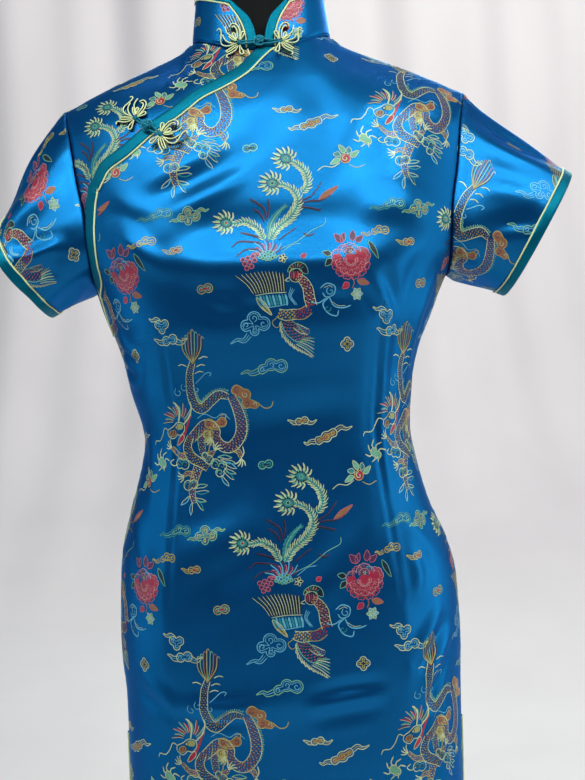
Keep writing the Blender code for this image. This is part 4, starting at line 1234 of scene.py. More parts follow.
def draw_peony():
    """A peony hanging its head: full petals below, an open heart above, and leaves."""
    f = Figure()
    heart = (0, 1)
    fan = [polar(17.5 - 1.8 * (k % 2), -168 + k * 13, heart) for k in range(13)]
    f.area("crimson", fan + [(7, -1), (0, -3), (-7, -1)])
    for colour, centre, far, dent, step, layer in (
        ("crimson", (10.5, 3.5), 7.6, 1.4, 24, 0), ("crimson", (-12, 1.5), 4.6, 0.9, 30, 0),
        ("crimson", (0, -0.5), 6.4, 0.8, 30, 0), ("plum", (-1, 9), 4.2, 0.8, 30, 1),
    ):
        petal = [polar(far - dent * (k % 2), k * step, centre) for k in range(360 // step)]
        f.area(colour, petal, layer)
    for colour, centre, far, first, last, count, width in (
        ("pink", (0, 0), 4.6, -200, 20, 4, 0.55), ("rose", heart, 18.4, -172, -8, 6, 0.6),
        ("pink", heart, 14.4, -176, -4, 5, 0.6), ("rose", heart, 10.4, -180, 0, 5, 0.6),
        ("pink", heart, 6.6, -190, 10, 4, 0.6), ("pink", (10.5, 3.5), 8.0, -70, 120, 4, 0.6),
        ("rose", (10.5, 3.5), 4.6, -70, 120, 3, 0.6), ("pink", (-11, 3), 6.6, 50, 230, 4, 0.6),
        ("rose", (-6, 8), 5.6, 40, 220, 4, 0.6), ("pink", (0, 8), 7.6, 0, 180, 5, 0.55),
        ("pink", (0, 6), 5.2, -10, 190, 4, 0.55), ("ice", (5, 8), 4.6, -20, 130, 3, 0.5),
    ):
        scallops(f, colour, centre, far, first, last, count, width)
    for turn in range(0, 360, 60):
        f.dash("cream", polar(0.6, turn, (0.5, 7)), polar(2.0, turn, (0.5, 7)), 0.5, layer=5)
    for root, tip, half, fill in (
        ((-6, 16), (-13, 24), 3.2, "plum"), ((-7, 16), (-4, 25), 2.4, "plum"),
        ((3, 17), (4, 27), 3.0, "plum"),
        ((6, 16), (13, 22), 2.6, "plum"), ((18, 17), (26, 1), 2.4, "ink"),
        ((-17, 5), (-25, 7), 2.6, "ink"),
        ((-17, 1), (-23, -5), 2.6, "ink"), ((6, -18), (17, -21), 2.9, "russet"),
        ((-2, -20), (-8, -25), 2.8, "crimson"),
    ):
        leaf(f, fill, "jade" if fill == "ink" else "rose", root, tip, half, 0.55)
    f.line("russet", ((1, -15), (3, -20), (1, -25)), 0.8)
    bloom = (6, -30)
    for k in range(6):
        leaf(f, ("ice", "jade")[k % 2], "cream", bloom, polar(6, k * 60, bloom), 2.2, 0.5)
    return f


def dragon_coils(f):
    """The long body with its comb."""
    tail = ((-30, 58), (-34, 46), (-34, 30), (-31, 19), (-24, 15), (-16, 21), (-7, 27), (1, 25))
    coil = (
        (4, 26), (9, 14), (12, 0), (10, -12), (2, -21), (-7, -20), (-13, -12), (-13, -4), (-22, 0),
        (-30, -6), (-38, -13),
    )
    widths = (3.4, 4.2, 4.8, 5.0, 5.0, 4.8, 4.4, 4.4, 4.8, 4.8, 4.2)
    scaled_body(f, coil, widths, "plum", "cream", "gold")
    scaled_body(f, tail, (2.6, 3.4, 3.8, 4.2, 4.4, 4.4, 4.2, 2.6), "ink", "cream", "gold")
    comb = offset_line(tail, (3.8, 4.4, 4.4, 4.2), 1)[14::3]
    f.barbs("jade", comb, 3.4, 64, 1.8, sides=(1,), width=0.9)
    comb = offset_line(coil, (4.2, 5.0, 5.0, 4.6), 1)[2:26:3]
    f.barbs("jade", comb, 3.2, 60, 2.1, sides=(1,), width=0.8)
    f.line("ice", ((-30, 6), (-22, 10), (-12, 6), (-5, 10), (2, 4)), 0.7)


def dragon_tuft(f):
    """The tuft of the tail, its side spikes and curls."""
    for k in range(7):
        bow = (k - 3) * 3.1
        tip = (-29 + bow, 86 - abs(k - 3) * 2.2)
        strand = ((-30, 56), (-30 + bow * 0.9, 68), tip, (tip[0] + 2.5, tip[1] - 1.5))
        f.line(("gold", "jade", "russet")[k % 3], strand, 0.8)
        shade = ((-29, 56), (-28.8 + bow * 0.9, 68), (tip[0] + 0.8, tip[1] - 1.5))
        f.line("ink", shade, 0.7, layer=0)
    for side, (x, y) in ((1, (-24, 60)), (1, (-27, 53)), (-1, (-36, 54)), (1, (-29, 47))):
        f.line("cream", ((x, y), (x + 5 * side, y + 2), (x + 9 * side, y + 1)), 0.9)
    f.line("ice", ((-29, 38), (-24, 42), (-18, 47), (-13, 47), (-15, 44)), 0.8)
    for centre, radius in (((-40, 35), 4.2), ((-28, 33), 3.6), ((-47, 31), 4.6)):
        scroll(f, "ice", centre, radius, 120, 1, 0.7)


def dragon_flames(f):
    """Orange flame clouds on the coil."""
    for fill, lobes, trail in (
        (
            "russet", ((10, 30, 5), (17, 26, 5), (18, 18, 4.5), (25, 17, 4)),
            ((27, 19), (34, 13), (40, 14), (42, 19)),
        ),
        ("russet", ((-18, 1, 4.5), (-12, -1, 4), (-6, 2, 4.5)), ((-3, 3), (-2, 9), (-7, 8))),
        ("gold", ((-21, -9, 4), (-19, -14, 3.6)), ((-19, -17), (-20, -24), (-23, -27))),
    ):
        f.outlined(fill, "gold", cloud_outline(lobes), 0.7, 1)
        f.line("gold", trail, 0.9)
        for k, (x, y, radius) in enumerate(lobes):
            scroll(f, ("plum", "cream")[k % 2], (x, y), radius * 0.6, 60 + 80 * k, 1, 0.6)


def dragon_head(f):
    """The head, facing left and down, with horns, mane, open jaw and a long whisker."""
    mane = (-50, 2)
    for k in range(12):
        turn = 20 + k * 13.5
        near, far = polar(7, turn, mane), polar(17 + 3 * (k % 2), turn + 10, mane)
        lock = (near, polar(12, turn - 2, mane), far)
        f.line(("crimson", "teal", "plum")[k % 3], lock, 1.5, layer=0)
        f.line("cream", (near, polar(12, turn + 3, mane), far), 0.5)
    f.line("cream", ((-50, 3), (-48, 12), (-50, 19), (-54, 22)), 1.6, layer=4)
    f.line("cream", ((-45, 1), (-38, 8), (-35, 16), (-36, 22)), 1.4, layer=4)
    skull = (
        (-45, 2), (-52, 3), (-58, -1), (-64, -4), (-64, -9), (-58, -12), (-53, -8), (-49, -9),
        (-44, -4),
    )
    f.line("cream", skull, 0.8, True, layer=4)
    cheek = ((-46, 1), (-51, 1.6), (-55, -2), (-50, -3.4), (-46, -2.6))
    muzzle = ((-56.5, -4), (-61.5, -5.5), (-62, -9), (-58, -10), (-55, -7))
    tongue = ((-46, -8), (-51, -12), (-54, -18), (-50, -17), (-45, -12))
    f.outlined("gold", "jade", cheek, 0.5, 2)
    f.outlined("russet", "gold", muzzle, 0.5, 2)
    f.outlined("crimson", "cream", tongue, 0.6, 2)
    f.disc("cream", "ink", (-54, -1.6), 1.5, layer=5)
    for k in range(4):
        f.dash("ink", (-59 + k * 2.8, -4.5), (-60 + k * 2.8, -8), 0.6, layer=5)
    f.line("cream", ((-64, -4), (-69, -2), (-73, -9), (-78, -14), (-85, -14), (-87, -18)), 0.9)
    f.line("crimson", ((-38, 6), (-42, -3), (-47, -14)), 2.0, layer=1)


def dragon_legs(f):
    """The fore body, the hind body and the low coil, with legs and claws."""
    fore = ((-38, -10), (-42, -20), (-38, -29), (-28, -35), (-21, -40))
    low = ((-30, -36), (-34, -46), (-38, -58), (-36, -72))
    scaled_body(f, fore, (3.0, 4.4, 4.8, 4.2, 3.0), "ink", "cream", "gold")
    scaled_body(f, ((-25, -4), (-27, -14), (-26, -26)), (3.2, 3.6, 3.0), "plum", "jade", "gold")
    scaled_body(f, low, (4.6, 4.0, 3.2, 2.2), "plum", "gold", "cream")
    for joints, way in (
        (((-42, -28), (-52, -27), (-60, -20)), 150), (((4, -22), (9, -27), (10, -32)), -95),
        (((-20, -3), (-17, -8), (-18, -12)), -100), (((-24, -32), (-18, -27), (-14, -24)), 60),
        (((-34, -46), (-42, -44), (-46, -46)), 200),
    ):
        scaled_body(f, joints, (2.8, 2.2, 1.6), "russet", "gold", "cream")
        claws(f, joints[-1], way)
    f.line("cream", ((10, -32), (13, -27), (12, -21)), 1.0)
    f.line("cream", ((-58, -31), (-62, -34), (-58, -37), (-52, -35)), 0.9)


def dragon_clouds(f):
    """Teal clouds and leafy flames below."""
    for fill, lobes in (
        ("teal", ((-51, -35, 4.5), (-45, -36, 4.5))),
        ("jade", ((-14, -36, 4.5), (-8, -38, 4.5), (-10, -44, 4))),
        ("teal", ((-42, -55, 4.5), (-36, -54, 4))), ("teal", ((-20, -32, 4), (-24, -28, 3))),
    ):
        f.line("cream", cloud_outline(lobes), 0.75, True, layer=3)
        for x, y, radius in lobes:
            scroll(f, fill, (x, y), radius * 0.78, 200, -1, 1.0)
            scroll(f, "ink", (x, y), radius * 0.4, 20, -1, 0.7)
    for k, (root, tip) in enumerate((
        ((-12, -30), (2, -31)), ((-9, -32), (5, -36)), ((-8, -35), (6, -41)), ((-6, -40), (5, -46)),
        ((-7, -43), (3, -51)), ((-9, -46), (-2, -57)), ((-36, -58), (-22, -55)),
        ((-35, -61), (-21, -61)),
        ((-40, -64), (-50, -73)), ((-36, -66), (-24, -70)), ((-35, -68), (-27, -78)),
        ((-38, -70), (-40, -82)),
    )):
        flame(f, ("jade", "teal", "ice")[k % 3], root, tip, (1, -1)[k % 2])
    f.outlined("jade", "cream", cloud_outline(((-76, -33, 4), (-72, -36, 3.5))), 0.7)
    burst = (-75, -34)
    for turn, far in ((100, 13), (60, 12), (140, 11), (15, 12), (190, 11), (250, 9), (300, 9)):
        bends = ((4, 0), (far * 0.6, 14), (far, -8))
        f.line("cream", [polar(reach, turn + bend, burst) for reach, bend in bends], 1.2)


def draw_parts(*parts):
    """One figure out of several functions that each draw a part of it."""
    f = Figure()
    for part in parts:
        part(f)
    return f


def scroll(f, colour, centre, radius, turn, hand=1, width=0.8):
    """A small spiral, as clouds are curled with."""
    points = [polar(radius * (1 - 0.13 * k), turn + hand * 58 * k, centre) for k in range(7)]
    f.line(colour, points, width, pitch=1.6, layer=4)


def cloud_outline(lobes, swell=0.0):
    """The outline of round lobes (x, y, radius) seen from their middle."""
    middle = np.mean([lobe[:2] for lobe in lobes], axis=0)
    outline = []
    for turn in range(0, 360, 12):
        way = np.array(polar(1, turn))
        reach = 1.5
        for x, y, radius in lobes:
            to = np.array((x, y)) - middle
            inside = (radius + swell) ** 2 - to @ to + (to @ way) ** 2
            if inside > 0:
                reach = max(reach, to @ way + math.sqrt(inside))
        outline.append(tuple(middle + way * reach))
    return outline


def draw_cloud(edge, fill, heart, lobes, tails=(), scale=1.0):
    """A cloud of round lobes with curls in them, a second line inside, and pointed trails."""
    f = Figure()
    lobes = [(x * scale, y * scale, radius * scale) for x, y, radius in lobes]
    if fill:
        f.area(fill, cloud_outline(lobes, -1.7))
    f.line(edge, cloud_outline(lobes), 0.85, closed=True)
    f.line(heart, cloud_outline(lobes, -1.7), 0.55, closed=True)
    for k, (x, y, radius) in enumerate(lobes):
        scroll(f, heart, (x, y), radius * 0.52, 200 + 70 * k, 1 if k % 2 else -1, 0.7)
    for tail in tails:
        points, wide = np.array(tail) * scale, np.array((2.3, 1.9, 1.1, 0.3)) * scale
        left, right = offset_line(points, wide, 1), offset_line(points, wide, -1)
        f.line(edge, np.vstack((left, right[::-1])), 0.75)
        f.line(heart, points[:3], 0.55)
    return f


def draw_pearl():
    f = Figure()
    f.disc("crimson", "gold", (0, 0), 4.6)
    scroll(f, "cream", (0, 0), 3.4, 90)
    for k, way in enumerate((20, 60, 100, 145, 190)):
        root = polar(5, way)
        leafy = (root, polar(9, way - 14), polar(15 - k % 2 * 3, way + 10), polar(9, way + 20))
        f.outlined(("jade", "teal")[k % 2], "cream", leafy, 0.55)
    f.line("cream", ((-5, -4), (-12, -8), (-20, -7), (-26, -11)), 0.8)
    f.line("gold", ((3, -6), (10, -9), (18, -6)), 0.7)
    return f


def draw_ribbon():
    f = Figure()
    f.line("ice", ((-8, 8), (-2, 12), (5, 9), (4, 2), (-3, 0), (-6, 4)), 1.1)
    f.line("ice", ((0, 0), (4, -8), (12, -10), (20, -8)), 1.1)
    f.line("ice", ((0, 0), (-6, -6), (-2, -14), (6, -17), (8, -12)), 1.1)
    f.line("ice", ((-3, -1), (-10, -5), (-17, -4)), 1.0)
    f.line("cream", ((-5, 8), (0, 10), (3, 8)), 0.5)
    f.line("cream", ((2, -4), (8, -8), (15, -8)), 0.5)
    scroll(f, "ice", (1, 5), 4, 120)
    scroll(f, "teal", (-2, -10), 3.5, 20, -1)
    return f


# A cloud's lobes, each (x, y, radius), and its trails, all in mm from its middle.
LOBES = {
    "heart": ((-3.6, 2.0, 4), (3.6, 2.0, 4), (0, -2.8, 3.6)),
    "diamond": ((-3.4, 0, 3.2), (3.4, 0, 3.2), (0, 3.4, 3.2), (0, -3.6, 3.0)),
    "long": ((-7, -1, 3.8), (0, 2.5, 4.8), (8, 1, 5.2)),
    "broad": ((-7, 0, 5), (0, 6, 6), (8, 1, 6), (0, -5, 4)),
    "pair": ((-6, -2, 3.8), (1, 1, 4.8), (7, 4, 4.0)),
    "puff": ((-3, 0, 3.6), (3.4, 1, 3.8)),
}
TRAILS = {
    "left": ((-10, -2), (-16, -4), (-20, -2), (-25, -4)),
    "right": ((10, 6), (15, 9), (20, 7), (26, 9)),
    "short left": ((-5, -1), (-9, -1), (-12, 1), (-15, 2)),
    "short right": ((5, 0), (9, -2), (12, -2), (16, 1)),
    "low left": ((-5, -8), (-10, -13), (-16, -12), (-22, -15)),
    "small left": ((-9, -3), (-14, -3), (-17, -5), (-20, -3)),
    "top left": ((-2, 4), (-6, 7), (-10, 6), (-14, 8)),
    "rising right": ((9, 3), (15, 8), (20, 6), (24, 8)),
    "falling left": ((-9, 0), (-14, -3), (-18, -2), (-22, -4)),
    "far left": ((-12, -2), (-18, -5), (-22, -2), (-25, -3)),
}
# Each cloud: edge, fill and heart threads, lobes, trails, scale and place in the repeat.
CLOUDS = (
    ("cream", "russet", "gold", "pair", ("right", "small left"), 1.0, (26, -170)),
    ("cream", "russet", "gold", "puff", ("short right", "short left"), 0.85, (5, -154)),
    ("ice", None, "ice", "broad", ("low left",), 1.0, (-33, -66)),
    ("jade", None, "ice", "long", ("left",), 1.1, (-20, -104)),
    ("cream", "ink", "gold", "diamond", (), 0.95, (50, -86)),
    ("cream", None, "ice", "heart", ("top left",), 1.0, (91, -62)),
    ("gold", "crimson", "jade", "puff", (), 1.05, (-76, -32)),
    ("jade", "teal", "gold", "broad", ("rising right", "falling left"), 0.8, (-88, 34)),
    ("jade", "ink", "teal", "puff", (), 0.95, (-30, -192)),
    ("gold", "crimson", "gold", "puff", ("short left",), 0.85, (-100, 4)),
    ("cream", None, "ice", "puff", ("short left", "short right"), 1.15, (-114, -75)),
    ("gold", None, "gold", "long", ("far left",), 0.7, (84, 14)),
    ("teal", None, "jade", "long", ("left",), 0.9, (98, -250)),
)
PHOENIX = (phoenix_tail, phoenix_fan, phoenix_wing, phoenix_head, phoenix_body)
DRAGON = (dragon_coils, dragon_tuft, dragon_flames, dragon_head, dragon_legs, dragon_clouds)


def draw_figures():
    """Each figure with its place in the repeat, in millimetres from the phoenix's middle."""
    figures = [
        (draw_parts(*PHOENIX), (0, 0)),
        (draw_peony(), (55, -12)),
        (draw_parts(*DRAGON), (-62, -153)),
        (draw_ribbon(), (35, -44)),
        (draw_pearl(), (56, -206)),
    ]
    for edge, fill, heart, lobes, trails, scale, place in CLOUDS:
        trails = [TRAILS[trail] for trail in trails]
        figures.append((draw_cloud(edge, fill, heart, LOBES[lobes], trails, scale), place))
    return [(figure.packed(), place) for figure, place in figures]


def starts_of(place, origin, grain):
    """Every place in the endless repeat where a figure could start near a cloth."""
    right_way, up_way = grain
    fx, fy = place
    for i in range(-4, 5):
        for j in range(-5, 6):
            across, up = fx * MM + i * REPEAT_WIDE, fy * MM + j * REPEAT_HIGH
            yield origin + across * right_way + up * up_way


def weave(name, cloth, figures, origin, looks):
    """Lays the repeat all over a cloth from an origin in its flat coordinates."""
    spans, grain = cloth.extent, cloth.grain
    lefts, rights, kinds, lifts, links = [], [], [], [], []
    for (left, right, kind, layer, linked), place in figures:
        reach = max(np.ptp(left[:, 0]), np.ptp(left[:, 1]))
        middle = (left + right) / 2
        for start in starts_of(place, origin, grain):
            if not all(low - reach < at < high + reach for at, (low, high) in zip(start, spans)):
                continue
            shown = cloth.inside(*(start + middle @ grain).T)
            both = linked & shown & np.roll(shown, -1)
            index = np.flatnonzero(both | np.roll(both, 1))
            for side, kept in ((left, lefts), (right, rights)):
                kept.append(start + side[index] @ grain)
            kinds.append(kind[index])
            lifts.append(FIGURE_LIFT + layer[index] * LAYER_LIFT)
            links.append(both[index])
    flat = np.stack((np.concatenate(lefts), np.concatenate(rights)), axis=1)
    lift, first = np.concatenate(lifts), np.flatnonzero(np.concatenate(links))
    points = cloth.lay(flat[..., 0], flat[..., 1], lift[:, None])
    faces = np.stack((2 * first, 2 * first + 1, 2 * first + 3, 2 * first + 2), axis=1)
    return new_piece(name, points, faces, looks, np.concatenate(kinds)[first])


# ---- materials -------------------------------------------------------------
def add_node(tree, kind, settings=(), **inputs):
    """A node with its settings, and its inputs set or linked by name."""
    made = tree.nodes.new(kind)
    for key, value in dict(settings).items():
        setattr(made, key, value)
    for key, value in inputs.items():
        socket = made.inputs[key]
        if isinstance(value, bpy.types.NodeSocket):
            tree.links.new(value, socket)
        else:
            socket.default_value = value
    return made


def blank_look(name, constants):
    made = bpy.data.materials.new(name)
    made.use_nodes = True
    tree = made.node_tree
    shader = tree.nodes["Principled BSDF"]
    for key, value in constants.items():
        shader.inputs[key].default_value = value
    return made, tree, shader


def object_places(tree, scale):
    coordinates = add_node(tree, "ShaderNodeTexCoord")
    mapping = add_node(tree, "ShaderNodeMapping", Vector=coordinates.outputs["Object"])
    mapping.inputs["Scale"].default_value = scale
    return mapping.outputs["Vector"]


def shades(tree, factor, colour, dark, light, low=0.3, high=0.7):
    """A colour times dark where the factor is low, and times light where it is high."""
    made = add_node(tree, "ShaderNodeValToRGB", Fac=factor)
    for element, at, by in zip(made.color_ramp.elements, (low, high), (dark, light)):
        element.position = at
        element.color = (*(min(1.0, part * by) for part in colour), 1)
    return made.outputs["Color"]


def noise(tree, places_in, scale, detail=2.0, roughness=0.5):
    settings = {"Scale": scale, "Detail": detail, "Roughness": roughness}
    return add_node(tree, "ShaderNodeTexNoise", Vector=places_in, **settings).outputs["Fac"]


def finish_look(tree, shader, colours, rough, height, strength, distance):
    """Links colour, roughness and bump to a look's shader."""
    tree.links.new(colours, shader.inputs["Base Color"])
    tree.links.new(rough, shader.inputs["Roughness"])
    bump = add_node(tree, "ShaderNodeBump", Height=height, Strength=strength, Distance=distance)
    tree.links.new(bump.outputs["Normal"], shader.inputs["Normal"])


EVEN = (1, 1, 1)  # a grain alike all ways, and plain white


def cloth_look(
    name, colour, roughness, weave, relief, mottle=0.10, streak=0.08, warp=(1, 1, 0.04), **constants
):
    """Woven cloth: mottled colour, fine streaks along its warp, a diagonal weave in its bump."""
    made, tree, shader = blank_look(name, constants)
    plain = object_places(tree, EVEN)
    base = shades(tree, noise(tree, plain, 7.0, 3.0), colour, 1 - mottle, 1 + mottle)
    lines = noise(tree, object_places(tree, warp), 1400.0, 2.0, 0.6)
    lined = shades(tree, lines, EVEN, 1 - streak, 1.0, 0.25, 0.75)
    blend = {"data_type": "RGBA", "blend_type": "MULTIPLY"}
    shade = add_node(tree, "ShaderNodeMix", blend, Factor=1.0, A=base, B=lined)
    rough = shades(tree, noise(tree, plain, 26.0, 4.0), EVEN, *roughness)
    bands = {"wave_type": "BANDS", "bands_direction": "DIAGONAL"}
    twill = add_node(
        tree, "ShaderNodeTexWave", bands, Vector=plain, Scale=weave, Distortion=1.2, Detail=1.0
    )
    fine = add_node(tree, "ShaderNodeMath", {"operation": "ADD"})
    tree.links.new(twill.outputs["Fac"], fine.inputs[0])
    tree.links.new(lines, fine.inputs[1])
    colours = shade.outputs["Result"]
    finish_look(tree, shader, colours, rough, fine.outputs["Value"], relief, 0.00025)
    return made


def thread_look(name, colour):
    """Lustrous silk thread: rows of floats, with small differences from one to the next."""
    lustre = {
        "Metallic": 0.15, "Specular IOR Level": 0.55, "Sheen Weight": 0.15, "Sheen Roughness": 0.4
    }
    made, tree, shader = blank_look("thread_" + name, lustre)
    rows = noise(tree, object_places(tree, (0.15, 0.15, 1)), 900.0, 1.0)
    worn = noise(tree, object_places(tree, EVEN), 55.0, 2.0)
    both = add_node(tree, "ShaderNodeMath", {"operation": "MULTIPLY_ADD"})
    tree.links.new(rows, both.inputs[0])
    both.inputs[1].default_value = 0.6
    tree.links.new(worn, both.inputs[2])
    colours = shades(tree, both.outputs["Value"], colour, 0.72, 1.18, 0.45, 1.05)
    rough = shades(tree, rows, EVEN, 0.34, 0.52)
    finish_look(tree, shader, colours, rough, rows, 0.35, 0.0002)
    return made


def paint_look(name, colour, roughness, grain):
    """Baked paint on metal with a faint orange peel."""
    coat = {"Metallic": 0.0, "Coat Weight": 0.25, "Coat Roughness": 0.25}
    made, tree, shader = blank_look(name, coat)
    plain = object_places(tree, EVEN)
    colours = shades(tree, noise(tree, plain, 12.0, 4.0), colour, 0.85, 1.15)
    rough = shades(tree, noise(tree, plain, 60.0, 5.0), EVEN, *roughness, high=0.75)
    finish_look(tree, shader, colours, rough, noise(tree, plain, grain, 2.0), 0.12, 0.0003)
    return made


def stage_look(name, colour, roughness):
    made, tree, shader = blank_look(name, {"Specular IOR Level": 0.2})
    soft = noise(tree, object_places(tree, (1, 1, 0.4)), 2.5, 3.0)
    colours = shades(tree, soft, colour, 0.97, 1.02, 0.35, 0.65)
    tree.links.new(colours, shader.inputs["Base Color"])
    shader.inputs["Roughness"].default_value = roughness
    return made


def make_looks():
    satin = {
        "Metallic": 0.86, "Anisotropic": 0.40, "Specular IOR Level": 0.35,
        "Specular Tint": (0.05, 0.42, 0.80, 1), "Sheen Weight": 0.04, "Sheen Roughness": 0.35,
        "Sheen Tint": (0.10, 0.55, 1.0, 1),
    }
    soft_satin = {
        **satin, "Metallic": 0.60, "Specular Tint": (0.10, 0.55, 0.65, 1),
        "Sheen Tint": (0.2, 0.8, 0.9, 1),
    }
    strip = {"Metallic": 0.30, "Sheen Weight": 0.15, "Sheen Tint": (0.2, 0.8, 0.9, 1)}
    cord = {"Metallic": 0.1, "Sheen Weight": 0.15}
    jersey = {"Sheen Weight": 0.06, "Sheen Roughness": 0.5, "Specular IOR Level": 0.18}
    looks = {
        "brocade": cloth_look(
            "blue_satin", (0.0070, 0.140, 0.375), (0.29, 0.36), 420.0, 0.22, **satin
        ),
        "lining": cloth_look(
            "blue_lining", (0.006, 0.085, 0.27), (0.5, 0.6), 500.0, 0.2, streak=0.05
        ),
        "binding": cloth_look(
            "teal_satin", (0.001, 0.135, 0.215), (0.34, 0.44), 520.0, 0.22, warp=(1, 0.2, 1),
            **soft_satin
        ),
        "strip": cloth_look(
            "teal_strip", (0.003, 0.230, 0.330), (0.36, 0.48), 620.0, 0.35, warp=EVEN, **strip
        ),
        "cord": cloth_look(
            "pale_gold_cord", (0.95, 0.94, 0.48), (0.34, 0.46), 700.0, 0.45, 0.06, 0.10, EVEN,
            **cord
        ),
        "jersey": cloth_look(
            "black_jersey", (0.0050, 0.0046, 0.0048), (0.72, 0.85), 900.0, 0.5, 0.12, 0.15,
            (1, 1, 0.3), **jersey
        ),
        "paint": paint_look("black_paint", (0.022, 0.022, 0.024), (0.34, 0.46), 700.0),
        # dark navy dart stitches: the dart is a real seam, its dark colour is painted shade of the
        # crease
        "seam": cloth_look("dart_thread_painted_shade", (0.002, 0.030, 0.120), (0.5, 0.6), 800.0, 0.3),
        "backdrop": stage_look("pale_backdrop", (0.68, 0.64, 0.635), 0.9),
    }
    for name in THREAD_NAMES:
        looks[name] = thread_look(name, THREADS[name])
    return looks


# ---- the dress -------------------------------------------------------------
# Soft creases: a line of flat places (u from the middle, v the height), half width and rise in mm.
FRONT_WRINKLES = (
    # Across the bust: a ridge with a soft trough above it, and small glints under it.
    (((-165, 1192), (-110, 1176), (-50, 1168), (20, 1166), (90, 1165), (145, 1180)), 19, 4),
    (((-100, 1214), (-40, 1206), (20, 1206), (80, 1212)), 12, -0.6),
    (((-56, 1138), (-44, 1133), (-30, 1131)), 6, 1.5),
    (((-28, 1143), (-18, 1138), (-8, 1137)), 6, 1.3),
    (((48, 1147), (60, 1142), (72, 1141)), 6, 1.2),
    (((88, 1152), (98, 1138), (105, 1124)), 7, 2.6),
    (((108, 1152), (116, 1136), (119, 1120)), 6, -2.2),
    (((-138, 1206), (-118, 1186), (-100, 1168)), 8, 2),
    (((-105, 1160), (-70, 1146), (-50, 1120)), 11, -0.8),
    # From the armholes.
    (((165, 1182), (140, 1160), (128, 1118), (122, 1070)), 10, -2.2),
    (((178, 1150), (160, 1120), (150, 1075)), 8, 2.4),
    (((150, 1205), (125, 1215), (95, 1214)), 10, 1.8),
    (((-145, 1245), (-120, 1225), (-90, 1222)), 10, 1.4),
    # Puckers under the end of the opening.
    (((-178, 1108), (-158, 1098), (-142, 1092)), 4.5, 2.6),
    (((-180, 1092), (-160, 1083), (-146, 1080)), 4.5, 2.4),
    (((-182, 1076), (-166, 1069), (-150, 1068)), 4.5, 2),
    (((-176, 1122), (-158, 1116), (-136, 1118)), 5.5, -1.8),
    # Chest: long soft streaks falling from the neck towards the side.
    (((-104, 1248), (-60, 1268), (-18, 1288)), 10, 1.4),
    (((-98, 1233), (-55, 1250), (-12, 1269)), 9, -1.1),
    (((-85, 1222), (-50, 1234), (-20, 1246)), 7, 0.8),
    (((100, 1330), (80, 1290), (65, 1240)), 16, 1.2),
    (((130, 1335), (118, 1290), (112, 1245)), 12, -1.2),
    (((40, 1350), (55, 1305), (60, 1270)), 14, -1),
    # Waist and belly.
    (((114, 1122), (105, 1060), (101, 1010), (105, 960)), 7, 1.8),
    (((-20, 1020), (40, 1034), (90, 1030)), 14, -0.8),
    (((-100, 913), (-70, 922), (-38, 937)), 12, 0.9),
    (((-100, 868), (-52, 888), (0, 910)), 13, -1.2),
    (((30, 878), (60, 905), (85, 945)), 18, 1.4),
    (((0, 865), (20, 900), (30, 950)), 14, -1),
    # Right of the dart, down the hip.
    (((120, 904), (128, 882), (126, 860)), 7, 2.2),
    (((110, 935), (140, 905), (165, 890)), 9, 1.6),
    (((152, 842), (134, 823), (120, 812)), 6, 2.4),
    (((160, 827), (140, 808), (124, 794)), 5, -2.2),
    (((168, 815), (142, 790), (122, 768)), 6, 2.6),
    (((150, 782), (136, 762), (124, 748)), 5, -1.8),
    (((128, 756), (135, 738), (128, 720)), 6, 2),
    (((160, 745), (150, 715), (152, 680)), 8, 1.8),
    # Left of the dart.
    (((-150, 792), (-130, 783), (-112, 771)), 6, 1.8),
    (((-155, 775), (-132, 766), (-114, 757)), 5, -1.4),
    (((-160, 930), (-140, 900), (-134, 860)), 10, 1.4),
    (((-150, 1020), (-136, 985), (-134, 950)), 8, 1.2),
    # Where a hanger pressed the skirt flat: fine level creases.
    (((-104, 772), (-70, 769), (-30, 770)), 6.2, 1.4),
    (((-100, 760), (-60, 757), (-30, 759)), 6.2, -1.2),
    (((16, 767), (45, 772), (80, 774)), 6, 1.6),
    (((20, 779), (50, 784), (82, 785)), 6, -1.2),
    (((22, 755), (50, 758), (75, 760)), 6, -0.9),
    # The skirt hangs in slow upright waves.
    (((-60, 690), (-45, 600), (-55, 500)), 28, 2.2),
    (((50, 700), (60, 600), (52, 480)), 30, 2.2),
    (((0, 640), (4, 560), (0, 450)), 24, -1.8),
)
BACK_WRINKLES = (
    (((-150, 1200), (-90, 1215), (-40, 1210)), 14, 1.4),
    (((150, 1196), (90, 1212), (45, 1206)), 14, 1.4),
    (((-60, 1330), (0, 1345), (60, 1330)), 16, -1),
    (((-120, 1020), (-60, 1004), (0, 1002), (60, 1004), (120, 1020)), 10, -2),
    (((-110, 1046), (-40, 1030), (40, 1030), (110, 1046)), 10, 1.8),
    (((-110, 976), (-40, 982), (40, 980), (110, 974)), 11, 1.6),
    (((-165, 900), (-120, 884), (-80, 886)), 11, 1.6),
    (((165, 896), (120, 880), (80, 884)), 11, 1.6),
    (((-120, 770), (-40, 760), (40, 764), (120, 774)), 14, 1.6),
    (((-70, 730), (-60, 600), (-66, 470)), 26, 2.4),
    (((66, 730), (70, 600), (60, 470)), 26, 2.4),
    (((0, 700), (0, 600), (0, 460)), 24, -2),
    (((-40, 1140), (-50, 1090), (-46, 1050)), 14, -1.4),
    (((44, 1140), (52, 1090), (46, 1050)), 14, -1.4),
)
